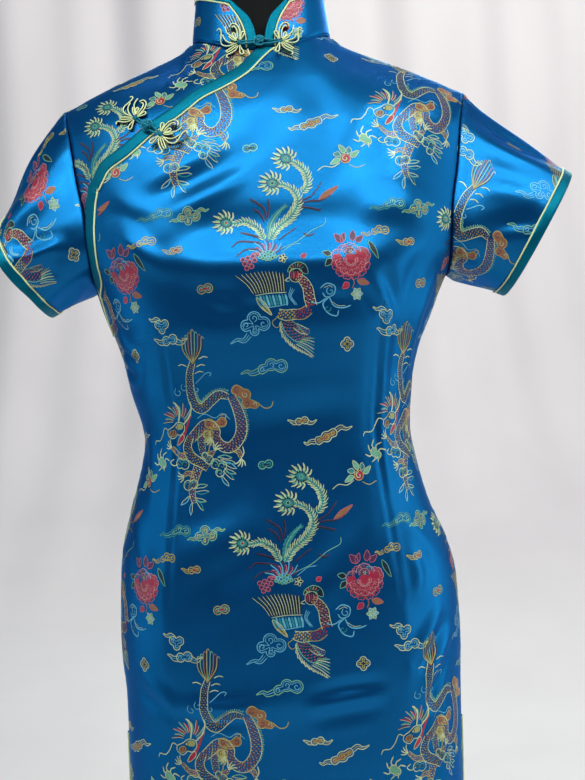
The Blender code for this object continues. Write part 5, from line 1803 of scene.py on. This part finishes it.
# On a sleeve u runs round from the shoulder and v up from the cuff.
SLEEVE_WRINKLES = {
    "right": (
        (((98, 12), (112, 30), (126, 60)), 6, 3),
        (((118, 6), (128, 24), (140, 40)), 5, -3),
        (((60, 20), (75, 50), (84, 85)), 10, 2.2),
        (((35, 30), (50, 70), (60, 95)), 9, -1.8),
        (((15, 25), (22, 60), (30, 100)), 10, 2),
        (((230, 20), (222, 50), (214, 85)), 10, 2.4),
        (((255, 30), (248, 60), (240, 90)), 9, -2),
        (((285, 20), (280, 55), (274, 95)), 10, 2),
        (((190, 10), (184, 30), (176, 45)), 6, 2.4),
    ),
    "left": (
        (((50, 15), (60, 50), (66, 100)), 12, 2.2),
        (((26, 20), (36, 60), (40, 110)), 10, -2),
        (((84, 18), (94, 45), (104, 75)), 10, 2),
        (((106, 12), (118, 32), (130, 52)), 7, -2),
        (((10, 30), (14, 70), (18, 110)), 10, 1.8),
        (((230, 20), (222, 50), (216, 85)), 10, 2.2),
        (((258, 30), (250, 60), (244, 95)), 9, -2),
        (((286, 20), (280, 55), (276, 100)), 10, 1.8),
    ),
}
# The lengthwise darts, seen as fine seams whose dark stitches are painted shade of their creases:
# flat places on the front and the back.
FRONT_DARTS = (
    ((-108, 1120), (-104, 1060), (-101, 1010), (-106, 940), (-110, 880), (-113, 860)),
    ((104, 1130), (98, 1060), (94, 1010), (100, 940), (106, 880), (108, 860)),
)
BACK_DARTS = (
    ((-75, 1150), (-66, 1070), (-62, 1010), (-68, 940), (-78, 870)),
    ((75, 1150), (66, 1070), (62, 1010), (68, 940), (78, 870)),
)
DART_TUCK = (3, -1.1)  # half width and rise of the tuck along a dart


def with_darts(wrinkles, darts):
    return wrinkles + tuple((line, *DART_TUCK) for line in darts)


def path_of(legs, pitch=0.003):
    """One flat path through legs that meet at corners."""
    parts = [resampled(np.array(leg), pitch) for leg in legs]
    return np.vstack([part[:-1] for part in parts[:-1]] + [parts[-1]])


def hem_path(cloth):
    heights = np.linspace(SLIT_TOP, HEM_HEIGHT, 60)
    ends = [np.interp(heights, cloth.HEIGHTS, cloth.reach[:, k]) for k in (0, 1)]
    left = np.stack((ends[0], heights), axis=1)
    right = np.stack((ends[1], heights), axis=1)[::-1]
    hem = np.array(((ends[0][-1], HEM_HEIGHT), (ends[1][-1], HEM_HEIGHT)))
    return path_of((left, hem, right))


def opening_path(cloth):
    """Up the side seam, up the armhole and along the slanted edge to the neckline."""
    low = np.linspace(1.120, ARMPIT_HEIGHT, 12)
    upright = np.linspace(ARMPIT_HEIGHT + 0.003, OPENING_CORNER[1], 24)
    slant = np.linspace(-OPENING_CORNER[0], 0.0, 50)[1:]
    side = drawn_in(low) - BODY.at(low, "right_half")
    x = np.concatenate((side, -OPENING_SIDE.at(upright, "half"), slant))
    z = np.concatenate((low, upright, OPENING.at(slant, "height")))
    u, v = cloth.flat_of(x, z)
    flat = np.stack((u, v), axis=1)
    corner = len(low) + len(upright)
    return path_of((flat[:corner], flat[corner - 1 :]))


def collar_path(cloth):
    up = np.linspace(0.0, 1.0, 40)
    ends = np.interp(cloth.front_edge(up), cloth.ANGLES, cloth.around)
    left = np.stack((ends, up * COLLAR_HEIGHT), axis=1)
    right = left[::-1] * (-1, 1)
    top = np.array((left[-1], right[0]))
    return path_of((left, top, right), 0.0025)


def plain_cord(name, cloth, line, height, radius, look, closed=False):
    """A cord of one thickness along a flat line, its middle at a height over the cloth."""
    parts = cord_parts(cloth, line, height, np.full(len(line), radius), closed)
    gathered_tubes(name, [(parts, closed, 0)], [look])


def bound_edge(name, cloth, path, width, side, looks, nodes, closed=False, last=None):
    """A satin binding with a pale cord along its inner edge."""
    reach = reach_of(path, width, side, closed, last)
    made = tape(name + "_binding", cloth, path, reach, [looks["binding"]], nodes, closed)
    line = path + reach * (1 + 0.7 * CORD_RADIUS / width)
    height, look = 0.9 * CORD_RADIUS, looks["cord"]
    plain_cord(name + "_cord", cloth, line, height, CORD_RADIUS, look, closed)


def short_neck_cord(cloth, looks):
    """The collar's cord runs on for a little under the collar, on the flap."""
    x = np.linspace(-0.0126, -0.0093, 8)
    z = np.linspace(1.3775, 1.3632, 8)
    line = np.stack(cloth.flat_of(x, z), axis=1)
    height, cord = 0.9 * CORD_RADIUS, looks["cord"]
    plain_cord("flap_neck_cord", cloth, line, height, CORD_RADIUS, cord)


def neck_seam(cloth, looks):
    """A thin roll of the brocade fills the seam under the collar."""
    edge = float(np.interp(cloth.front_edge(0.0), cloth.ANGLES, cloth.around))
    u = np.linspace(-edge, edge, 161)
    line, brocade = np.stack((u, 0 * u), axis=1), looks["brocade"]
    plain_cord("neck_seam_roll", cloth, line, -0.0010, 0.00115, brocade)


STITCH_PITCH, STITCH_LENGTH = 0.0032, 0.0021
STITCH_HALF = 0.00022 * np.array((0.5, 1, 1, 0.5))  # half widths from end to end
STITCH_LIFT = 0.00010


def dart_stitches_painted_shade(name, cloth, lines, look):
    """Short stitches along flat lines given in mm; their dark thread is painted shade of a dart's
    crease.
    """
    tubes = []
    for line in lines:
        points = curve_through(in_metres(line), 0.0008)
        run = along_of(points)
        for start in np.arange(0, run[-1] - STITCH_LENGTH, STITCH_PITCH):
            stops = np.linspace(start, start + STITCH_LENGTH, 4)
            flat = np.stack([np.interp(stops, run, points[:, k]) for k in (0, 1)], axis=1)
            p, q = cloth.reroll(flat[:, 0], flat[:, 1])
            stitch = tube(cloth.place(p, q, STITCH_LIFT), cloth.normal(p, q), STITCH_HALF, 4)
            tubes.append((stitch, False, 0))
    gathered_tubes(name, tubes, [look])


BODY_EXTENT = ((-0.26, 0.26), (HEM_HEIGHT, 1.52))  # flat reach of the front and the back


def make_cloths():
    front = BodyCloth(-1, with_darts(FRONT_WRINKLES, FRONT_DARTS), opened=True)
    back = BodyCloth(1, with_darts(BACK_WRINKLES, BACK_DARTS))
    flap = FlapCloth(-1, FRONT_WRINKLES)
    front.extent = back.extent = BODY_EXTENT
    flap.extent = ((-0.26, 0.03), (1.20, 1.52))
    collar = CollarCloth()
    collar.extent = ((-0.22, 0.22), (0.0, COLLAR_HEIGHT))
    sleeves = {}
    for name, sizes in SLEEVES.items():
        sleeves[name] = SleeveCloth(sizes, SLEEVE_WRINKLES[name])
        sleeves[name].extent = ((0.0, sleeves[name].round), (0.0, 0.16))
    return front, back, flap, collar, sleeves


# Where the phoenix of the repeat lies on each cloth, in its flat coordinates.
ORIGINS = {
    "front": (0.016, 1.178), "back": (-0.020, 1.120), "flap": (0.060, 1.250),
    "collar": (0.012, 0.050), "sleeve_right": (0.053, 0.017), "sleeve_left": (0.012, -0.012),
}
# How many squares each cloth has across and up; a sleeve's are round and along.
FRONT_SQUARES, BACK_SQUARES, FLAP_SQUARES = (140, 290), (110, 200), (60, 44)
COLLAR_SQUARES, SLEEVE_SQUARES, CUFF_STEPS = (150, 18), (144, 44), 120
# How the slanted binding spreads along the neckline at its top, as a flat (u, v) reach.
OPENING_TAPE_TOP = (0.0142, -0.0012)


def figured_cloth(name, cloth, grid, node, figures, looks, ring=False):
    """A fine shell of brocade in place of one solid, with the figures woven all over it."""
    made, size = shell(name + "_cloth", cloth, *grid, [looks["brocade"], looks["lining"]], ring)
    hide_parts(node)
    threads = [looks[thread] for thread in THREAD_NAMES]
    figured = weave(name + "_figures", cloth, figures, ORIGINS[name], threads)
    if ring:
        size = (cloth.round, float(cloth.lengths.max()), size[2])


def sleeve(side, cloth, figures, looks):
    name, grid = f"sleeve_{side}", spread(0, 1, *SLEEVE_SQUARES)
    figured_cloth(name, cloth, grid, name, figures, looks, ring=True)
    around = np.linspace(0, cloth.round, CUFF_STEPS + 1)[:-1]
    path = np.stack((around, 0 * around), axis=1)
    width, nodes = TAPE_WIDTH * 0.95, [f"cuff_binding_{side}"]
    bound_edge(f"cuff_{side}", cloth, path, width, 1, looks, nodes, closed=True)


def dress(looks):
    front, back, flap, collar, sleeves = make_cloths()
    figures = draw_figures()
    grid = panel_grid(-1, *FRONT_SQUARES, opened=True)
    figured_cloth("front", front, grid, "front_panel", figures, looks)
    figured_cloth("back", back, panel_grid(1, *BACK_SQUARES), "back_panel", figures, looks)
    figured_cloth("flap", flap, flap_grid(*FLAP_SQUARES), "under_flap", figures, looks)
    across, up = spread(1, 0, *COLLAR_SQUARES)
    edge = collar.front_edge(up)
    grid = (mix(-edge, edge, across), up)
    figured_cloth("collar", collar, grid, "collar", figures, looks)
    for side, cloth in sleeves.items():
        sleeve(side, cloth, figures, looks)

    for name, cloth, nodes in (
        ("front_hem_and_slits", front, ["front_hem_binding"]),
        ("back_hem_and_slits", back, ["back_hem_binding"]),
    ):
        bound_edge(name, cloth, hem_path(cloth), TAPE_WIDTH, 1, looks, nodes)
    bound_edge(
        "slanted", front, opening_path(front), OPENING_TAPE_WIDTH * COVERED, -1, looks,
        ["opening_binding"], last=OPENING_TAPE_TOP,
    )
    short_neck_cord(flap, looks)
    neck_seam(collar, looks)
    width = TAPE_WIDTH * COVERED
    bound_edge("collar_edge", collar, collar_path(collar), width, 1, looks, ["collar_binding"])
    # dark stitches along the darts: the real seams, darkened as painted shade of the dart creases
    dart_stitches_painted_shade("front_dart_stitches_painted_shade", front, FRONT_DARTS, looks["seam"])
    dart_stitches_painted_shade("back_dart_stitches_painted_shade", back, BACK_DARTS, looks["seam"])


# ---- knotted frogs ---------------------------------------------------------
KNOT_RADIUS = 0.0042
KNOT_CORD = 0.00095  # radius of the cord that the ball is worked in
STRIP_LIFT = 0.0006
LOOP_CORD = (0.0014, 0.00092)  # rise and radius of the cords that run to the knot
FRONT_STACK = (CLOTH + LIFT_GAP + 0.0010 + 0.0008) * 1.4  # cloths and bindings under a frog
COLLAR_STACK = 0.0018
# The lines of one half in mm from its heart: outwards and upwards.
FROG_LINES = (
    (
        (2.4, -0.4), (5.6, -1.2), (11.0, -2.0), (15.4, -0.4), (17.2, 3.0), (16.8, 7.6),
        (16.4, 12.2), (17.2, 15.2), (19.0, 15.6), (20.2, 14.2),
    ),
    ((4.6, -0.6), (9.4, 1.0), (13.0, 4.0), (15.2, 9.4)),
    ((1.6, 1.6), (5.8, 5.6), (10.2, 9.8), (11.8, 14.0), (12.0, 17.0)),
    ((2.6, 1.4), (6.6, 3.8), (9.4, 7.0)),
    (
        (-0.2, 2.2), (-1.2, 5.6), (-1.5, 10.0), (-0.6, 14.2), (1.6, 17.6), (4.8, 18.8), (7.2, 17.6),
        (8.0, 15.2),
    ),
    ((0.8, 3.4), (1.0, 9.2), (1.9, 13.6), (4.0, 15.8), (5.9, 15.0)),
    ((1.8, -1.6), (5.4, -3.0), (9.4, -5.4), (13.2, -8.0)),
    ((1.6, -2.4), (4.8, -5.0), (8.4, -7.6), (12.2, -9.2)),
    (
        (0.8, -2.6), (2.8, -6.0), (5.0, -8.4), (8.8, -10.6), (11.6, -11.8), (12.3, -13.9),
        (11.0, -15.2),
    ),
)
# Closed drops: root, tip and half width.
FROG_DROPS = (
    ((2.0, 2.8), (5.2, 9.4), 1.3),
    ((-1.4, 2.0), (-5.0, 9.8), 1.5),
    ((-0.4, -2.4), (-2.6, -12.2), 1.7),
)
# A drop's outline: share of the way to its tip, and share of its half width.
DROP_SHAPE = (
    (0.0, -0.15), (0.35, -0.50), (0.70, -0.95), (0.92, -0.80), (1.0, 0.0), (0.92, 0.80),
    (0.70, 0.95), (0.35, 0.50), (0.0, 0.15),
)
# The strip stands on edge: half thickness and height of its section in mm.
STRIP_SECTION = ((-0.42, 0.0), (-0.48, 1.4), (-0.40, 2.7), (0.40, 2.7), (0.48, 1.4), (0.42, 0.0))
FROGS = {
    "neck_frog_right": ((-0.0205, 1.3835), "bar"),
    "neck_frog_left": ((0.0185, 1.3822), "loop"),
    "opening_frog_upper": ((-0.1190, 1.3115), "bar"),
    "opening_frog_lower": ((-0.0945, 1.2910), "loop"),
}
KNOTS = {"neck_knot": (-0.0010, 1.3838), "opening_knot": (-0.1072, 1.3015)}


def collar_depth(x, z):
    up = (z - neckline_height(-1, x)) / COLLAR_HEIGHT
    drawn = 1 - COLLAR_LEAN / NECK_HALF * np.clip(up, 0, 1)
    wide = np.minimum(np.abs(x) / drawn, NECK_HALF)
    return body_point(-1, wide, neckline_height(-1, wide))[..., 1] * drawn


def trim_place(x, z, rise):
    """A place standing off the topmost cloth at (x, z)."""
    seam = neckline_height(-1, x)
    edge = OPENING.at(np.minimum(x, 0.0), "height") + np.maximum(x, 0.0) * 2
    on_front = 1 - smooth(z, edge + 0.0045, edge + 0.0075)
    low = body_point(-1, x, np.minimum(z, seam))[..., 1] - FRONT_STACK * on_front
    high = collar_depth(x, np.maximum(z, seam)) - COLLAR_STACK
    high = np.where(z < seam, np.minimum(high, low), high)
    y = mix(low, high, smooth(z, seam + 0.001, seam + 0.005))
    return places(x, y - STRIP_LIFT - rise, z)


def strip_tubes(flat, heart):
    """A strip on edge along a flat (x, z) line, and the pale cord on it, thin near the heart."""
    along = unit(np.gradient(flat, axis=0))
    across = np.stack((-along[:, 1], along[:, 0]), axis=1)
    section = np.array(STRIP_SECTION) * MM
    spots = flat[:, None, :] + across[:, None, :] * section[None, :, :1]
    rises = np.broadcast_to(section[None, :, 1], spots.shape[:2])
    band = trim_place(spots[..., 0], spots[..., 1], rises)
    radius = mix(0.00030, 0.00064, smooth(np.linalg.norm(flat - heart, axis=1), 0.0015, 0.0070))
    return [(band, False, 0), (trim_tube(flat, 0.0028, radius), False, 1)]


def trim_tube(flat, rise, radius):
    """A round cord along a flat (x, z) line, its middle at a rise off the cloth."""
    centres = trim_place(flat[:, 0], flat[:, 1], rise)
    upward = np.tile((0.0, -1.0, 0.0), (len(flat), 1))
    return tube(centres, upward, np.broadcast_to(radius, len(flat)), 6)


def drop_line(root, tip, half):
    root, tip = np.array(root), np.array(tip)
    way = unit(tip - root)
    across = np.array((-way[1], way[0]))
    points = [root + (tip - root) * share + across * half * spread for share, spread in DROP_SHAPE]
    return curve_through(np.array(points), 0.7)


def frog(name, looks):
    (cx, cz), kind = FROGS[name]
    knot = np.array(KNOTS["neck_knot" if name.startswith("neck") else "opening_knot"])
    heart = np.array((cx, cz))
    stem = np.linalg.norm(heart - knot) / MM
    out = (heart - knot) / (stem * MM)
    up = np.array((out[1], -out[0])) * (1 if cx < knot[0] else -1)

    def laid(points):
        points = np.array(points) * MM
        return heart + points[:, :1] * out + points[:, 1:] * up

    tubes = []
    for points in FROG_LINES:
        tubes += strip_tubes(laid(curve_through(np.array(points), 0.7)), heart)
    for root, tip, half in FROG_DROPS:
        tubes += strip_tubes(laid(drop_line(root, tip, half)), heart)
    # Two plain cords run to the knot: a bar's end in it, a loop's go round it.
    ring, rail = KNOT_RADIUS / MM + 0.9, 1.15
    if kind == "bar":
        lines = [((1.0, way * 0.3), (-2.0, way), (1.2 - stem, way * 0.9)) for way in (-rail, rail)]
    else:
        turns = np.radians(np.arange(24, 337, 16))
        loop = [(ring * math.cos(t) - stem, ring * math.sin(t)) for t in turns]
        lines = [[(1.0, 0.3), (-2.6, rail)] + loop + [(-2.6, -rail), (1.0, -0.3)]]
    for points in lines:
        line = laid(curve_through(np.array(points), 0.7))
        tubes.append((trim_tube(line, *LOOP_CORD), False, 0))
    for k in range(-1, 2):
        wrap = laid([(k, w) for w in np.linspace(-2.0, 2.0, 9)])
        rise = 0.0032 - 0.0026 * (np.linspace(-1, 1, 9) ** 4)
        tubes.append((trim_tube(wrap, rise, 0.00055), False, 0))
    made = gathered_tubes(name + "_strips", tubes, [looks["strip"], looks["cord"]])
    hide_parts(name)


def button_knot(name, looks):
    """A ball of one cord, worked three times round in four bights."""
    x, z = KNOTS[name]
    centre = trim_place(np.array(x), np.array(z), 0.0) + (0, -KNOT_RADIUS, 0)
    turns = np.linspace(0, 6 * np.pi, 241)[:-1]
    high = 1.02 * np.sin(turns * 4 / 3)
    radius = KNOT_RADIUS - 0.0010 + 0.00032 * np.cos(turns * 8 / 3 * 2 + 0.4)
    way = places(np.cos(turns) * np.cos(high), np.sin(high), np.sin(turns) * np.cos(high))
    cord = centre + way * radius[:, None] * (0.98, 1.0, 1.12)
    tubes = [(tube(cord, way, np.full(len(cord), KNOT_CORD), 8, closed=True), True, 0)]
    rows = np.linspace(-1.45, 1.45, 13)
    core = centre + places(0 * rows, np.sin(rows) * (KNOT_RADIUS - 0.0010), 0 * rows)
    wide = np.maximum(np.cos(rows) * (KNOT_RADIUS - 0.0010), 0.0003)
    tubes.append((tube(core, np.tile((1.0, 0.0, 0.0), (13, 1)), wide, 16), False, 0))
    made = gathered_tubes(name + "_ball", tubes, [looks["strip"]])
    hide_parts(name)


# ---- dress form and stand --------------------------------------------------
FORM_GAP = 0.0042
FORM_GAP_AT_ARMPIT = 0.0050
FORM_PLATE_BACK = 0.0080
FORM_GAP_AT_SHOULDER = 0.0012
FORM_GAP_AT_NECK = 0.0060
FORM_ARMPIT_ROW = 12 / 22
FORM_NECK_BAND = (0.075, 0.115)  # the form lies further in by the neck, up to this far out
FORM_SEAM = 0.095  # how far out its lengthwise seams run
FORM_SQUARES, NECK_SIDES = (84, 110), 72
NECK_BACK = 0.002  # the neck stands this far behind the side line
# Height, half width and half depth of the neck.
FORM_NECK = (
    (1.372, 0.0530, 0.0460), (1.400, 0.0530, 0.0460), (1.445, 0.0515, 0.0450),
    (1.495, 0.0500, 0.0445), (1.510, 0.0488, 0.0433), (1.5165, 0.0466, 0.0410),
    (1.5195, 0.0425, 0.0370),
)


def form_points(facing, across, up):
    u = 2 * across - 1
    shoulder = shoulder_end()
    z_low = mix(FORM_BOTTOM, ARMPIT_HEIGHT, up / FORM_ARMPIT_ROW)
    inset_low = CLOTH + FORM_GAP + FORM_GAP_AT_ARMPIT * smooth(z_low, 1.06, ARMPIT_HEIGHT)
    x_low = (half_width(u, z_low) - inset_low) * np.sin(u * np.pi / 2)
    rise = np.clip((up - FORM_ARMPIT_ROW) / (1 - FORM_ARMPIT_ROW), 0, 1)
    climb = 1 - (1 - rise) ** ROW_CROWDING
    top = ridge_height(u * (SHOULDER_HALF - FORM_PLATE_BACK)) - CLOTH - FORM_GAP_AT_SHOULDER
    top = top - FORM_GAP_AT_NECK * (1 - smooth(np.abs(u) * SHOULDER_HALF, *FORM_NECK_BAND))
    z_high = mix(ARMPIT_HEIGHT, top, climb)
    inset_high = CLOTH + mix(FORM_GAP, FORM_GAP_AT_SHOULDER, smooth(rise, 0.5, 0.95))
    inset_high = inset_high + FORM_GAP_AT_ARMPIT * (1 - smooth(rise, 0.2, 0.6))
    reach = ARMHOLE.at(mix(ARMPIT_HEIGHT, shoulder, climb), "half") - FORM_PLATE_BACK
    x_high = reach * mix(np.sin(u * np.pi / 2), u, smooth(rise, 0, 0.9))
    near_neck = (1 - smooth(np.abs(x_high), *FORM_NECK_BAND)) * smooth(rise, 0.4, 0.8)
    inset_high = inset_high + FORM_GAP_AT_NECK * near_neck
    low = up <= FORM_ARMPIT_ROW
    x, z = np.where(low, x_low, x_high), np.where(low, z_low, z_high)
    inset_by = np.where(low, inset_low, inset_high)
    y = body_point(facing, x, z, inset_by)[..., 1]
    seam = 0.0004 * (gaussian(np.abs(x) - FORM_SEAM, 0.0016) + gaussian(x, 0.0016))
    return places(x, facing * np.maximum(np.abs(y) - seam, 0.0015), z)


def torso(looks):
    columns, rows = FORM_SQUARES
    across, up = np.meshgrid(np.linspace(0, 1, columns + 1), np.linspace(0, 1, rows + 1))
    front, back = form_points(-1, across, up), form_points(1, across, up)
    rings = np.concatenate((front, back[:, ::-1]), axis=1)
    count, ring = rings.shape[:2]
    top = (count - 1) * ring
    ridge = [(top + k, top + k + 1, top + ring - 2 - k, top + ring - 1 - k) for k in range(columns)]
    faces = np.vstack((tube_faces(count, ring), np.array(ridge)))
    made = new_piece("form_torso", rings, faces, looks, ends=(range(ring),))
    outward_faces(made)
    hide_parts("dress_form")


def ovals(height, wide, deep, sides, back=0.0):
    """Level rings of points, each with a height, a half width and a half depth."""
    turns = np.arange(sides) * 2 * np.pi / sides
    height, wide, deep = (np.asarray(each)[..., None] for each in (height, wide, deep))
    return places(wide * np.cos(turns), back + deep * np.sin(turns), height + 0 * turns)


def turned(name, rings, looks, slot):
    """A closed piece through level rings of points."""
    count, ring = rings.shape[:2]
    last = (count - 1) * ring
    ends = (range(ring), range(last, last + ring))
    made = new_piece(name, rings, tube_faces(count, ring), looks, ends=ends)
    outward_faces(made)
    return made


def dress_form(looks):
    jersey = [looks["jersey"]]
    torso(jersey)
    profile = curve_through(np.array(FORM_NECK), 0.004)
    made = turned("form_neck", ovals(*profile.T, NECK_SIDES, NECK_BACK), jersey, "form")
    rim = ovals(1.5166, 0.0462, 0.0406, NECK_SIDES, NECK_BACK)
    upward, radius = np.tile((0.0, 0.0, 1.0), (NECK_SIDES, 1)), np.full(NECK_SIDES, 0.0010)
    roll = tube(rim, upward, radius, 6, closed=True)
    seam = gathered_tubes("form_neck_seam", [(roll, True, 0)], jersey)
    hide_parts("dress_form")
    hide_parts("dress_form")


def lathe(name, profile, looks, nodes, segments=96):
    """A turned piece from (radius, height) points; its corners are rounded in the profile."""
    radius, height = np.array(profile).T
    made = turned(name, ovals(height, radius, radius, segments), looks, "stand")
    made.data.set_sharp_from_angle(angle=math.radians(50))
    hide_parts(*nodes)


def quarter_turn(out, up, radius, start, count):
    """Points of a rounded corner round a middle, from a starting angle on."""
    turns = start + np.linspace(0, math.pi / 2, count)
    return [(out + radius * math.cos(turn), up + radius * math.sin(turn)) for turn in turns]


# The plate under the form and the hub on the base: radius, and height over their foot.
PLATE = ((0.0400, 0.0003), (0.0435, 0.0012), (0.0450, 0.0030), (0.0450, 0.0055), (0.0442, 0.0063))
HUB = (
    (0.060, 0.0016), (0.036, 0.0019), (0.0325, 0.0030), (0.0305, 0.0060), (0.0282, 0.0170),
    (0.0275, 0.0197), (0.0260, 0.0213), (0.0240, 0.0220),
)


def raised(profile, height):
    return [(radius, height + up) for radius, up in profile]


def stand(looks):
    paint = [looks["paint"]]
    foot = quarter_turn(BASE_RADIUS - 0.002, 0.002, 0.002, -math.pi / 2, 5)
    rim = quarter_turn(BASE_RADIUS - 0.003, BASE_HEIGHT - 0.003, 0.003, 0.0, 7)
    base = [(0.150, 0.0)] + foot + rim + raised(HUB, BASE_HEIGHT)
    lathe("round_base", base, paint, ["stand_base"])
    low, top = BASE_HEIGHT + 0.0223, FORM_BOTTOM - 0.0066
    lathe("straight_pole", [(POLE_RADIUS, low), (POLE_RADIUS, top)], paint, ["pole"], 48)
    lathe("top_plate", raised(PLATE, top), paint, ["pole_plate"], 64)


# ---- stage, lights and camera ----------------------------------------------
CAMERA_ROLL = 2.8  # the photograph is turned by this much
CAMERA_PLACE = (0.014, -1.100, 1.053)
CAMERA_LENS = 50.8
SKYLIGHT = (0.88, 1.0, 0.94)
# Each light: name, place, aim, size, power and colour.
LIGHTS = (
    ("window_front", (-0.60, -2.00, 3.05), (-0.02, -0.12, 1.18), (1.5, 0.32), 37, SKYLIGHT),
    ("window_front_right", (1.12, -1.95, 3.05), (0.05, -0.12, 1.18), (1.1, 0.34), 24, SKYLIGHT),
    ("window_far_right", (1.75, -1.50, 2.90), (0.08, -0.10, 1.18), (0.8, 0.4), 17, SKYLIGHT),
    ("window_far_left", (-1.70, -1.40, 2.60), (-0.10, -0.10, 1.28), (0.8, 0.4), 10, SKYLIGHT),
    ("ceiling", (0.1, -0.70, 3.00), (0.0, -0.05, 1.30), (2.2, 1.1), 5, SKYLIGHT),
    ("window_left", (-2.1, 0.10, 1.25), (0.0, 0.0, 1.0), (1.3, 2.0), 6, (0.66, 1.0, 0.97)),
    ("window_right", (2.1, 0.10, 1.30), (0.0, 0.0, 1.0), (1.7, 2.0), 18, SKYLIGHT),
    ("window_behind", (0.5, 2.3, 2.3), (0.0, 0.1, 1.15), (2.4, 0.5), 26, SKYLIGHT),
    ("wall", (1.0, 1.7, 4.0), (0.8, 4.4, 1.6), (4.0, 0.6), 125, (1.0, 0.985, 0.96)),
)
SEEN_COLOUR, CAST_COLOUR, CAST_STRENGTH = (0.60, 0.61, 0.61, 1), (0.42, 0.58, 1.0, 1), 0.16


def backdrop(looks):
    """A pale cloth that covers the floor and sweeps up, far behind, into soft upright folds."""
    across = np.linspace(-4.0, 4.0, 301)
    turn = np.linspace(0, math.pi / 2, 13)[1:]
    out = np.concatenate(([-2.6, 0.0, 1.0, 1.6], 1.6 + 2.8 * np.sin(turn), np.full(8, 4.4)))
    up = np.concatenate(([0.0, 0.0, 0.0, 0.0], 2.2 - 2.2 * np.cos(turn), np.linspace(2.4, 5.0, 8)))
    x, k = np.meshgrid(across, np.arange(len(out)), indexing="ij")
    fold = 0.045 * np.sin(x * 8.0 + 1.1 * np.sin(x * 2.3)) + 0.018 * np.sin(x * 19.0 + 1.0)
    y = out[k] - fold * smooth(up[k], 0.1, 1.0)
    points = places(x, y, up[k] - 0.0006)
    mesh = bpy.data.meshes.new("backdrop")
    mesh.from_pydata(points.reshape(-1, 3).tolist(), [], grid_faces(300, len(out) - 1).tolist())
    mesh.materials.append(looks["backdrop"])
    mesh.shade_smooth()
    add_to_scene("backdrop", mesh)


def area_light(name, place, aim, size, power, colour):
    lamp = bpy.data.lights.new(name, "AREA")
    lamp.shape, lamp.size, lamp.size_y = "RECTANGLE", *size
    lamp.energy, lamp.color = power, colour
    made = add_to_scene(name, lamp)
    made.location = place
    made.rotation_euler = (Vector(aim) - Vector(place)).to_track_quat("-Z", "Y").to_euler()
    made.visible_camera = False


def room():
    """Pale all round as seen directly, but dim as a light."""
    world = bpy.data.worlds.new("room")
    world.use_nodes = True
    tree = world.node_tree
    seen, cast = tree.nodes["Background"], tree.nodes.new("ShaderNodeBackground")
    seen.inputs["Color"].default_value = SEEN_COLOUR
    cast.inputs["Color"].default_value = CAST_COLOUR
    cast.inputs["Strength"].default_value = CAST_STRENGTH
    choose, path = tree.nodes.new("ShaderNodeMixShader"), tree.nodes.new("ShaderNodeLightPath")
    tree.links.new(path.outputs["Is Camera Ray"], choose.inputs["Fac"])
    tree.links.new(cast.outputs["Background"], choose.inputs[1])
    tree.links.new(seen.outputs["Background"], choose.inputs[2])
    tree.links.new(choose.outputs["Shader"], tree.nodes["World Output"].inputs["Surface"])
    bpy.context.scene.world = world


def lights():
    for row in LIGHTS:
        area_light(*row)


def camera():
    s, c = math.sin(math.radians(CAMERA_ROLL)), math.cos(math.radians(CAMERA_ROLL))
    lens = bpy.data.cameras.new("camera")
    lens.lens, lens.sensor_fit = CAMERA_LENS, "VERTICAL"
    lens.sensor_height = lens.sensor_width = 36
    made = add_to_scene("camera", lens)
    x, y, z = CAMERA_PLACE
    made.matrix_world = Matrix(((c, s, 0, x), (0, 0, -1, y), (-s, c, 0, z), (0, 0, 0, 1)))
    bpy.context.scene.camera = made


def main():
    looks = make_looks()
    dress(looks)
    for name in FROGS:
        frog(name, looks)
    for name in KNOTS:
        button_knot(name, looks)
    dress_form(looks)
    stand(looks)
    backdrop(looks)
    room()
    lights()
    camera()
    bpy.context.scene.view_settings.view_transform = "Standard"  # a plain photograph's colours


main()
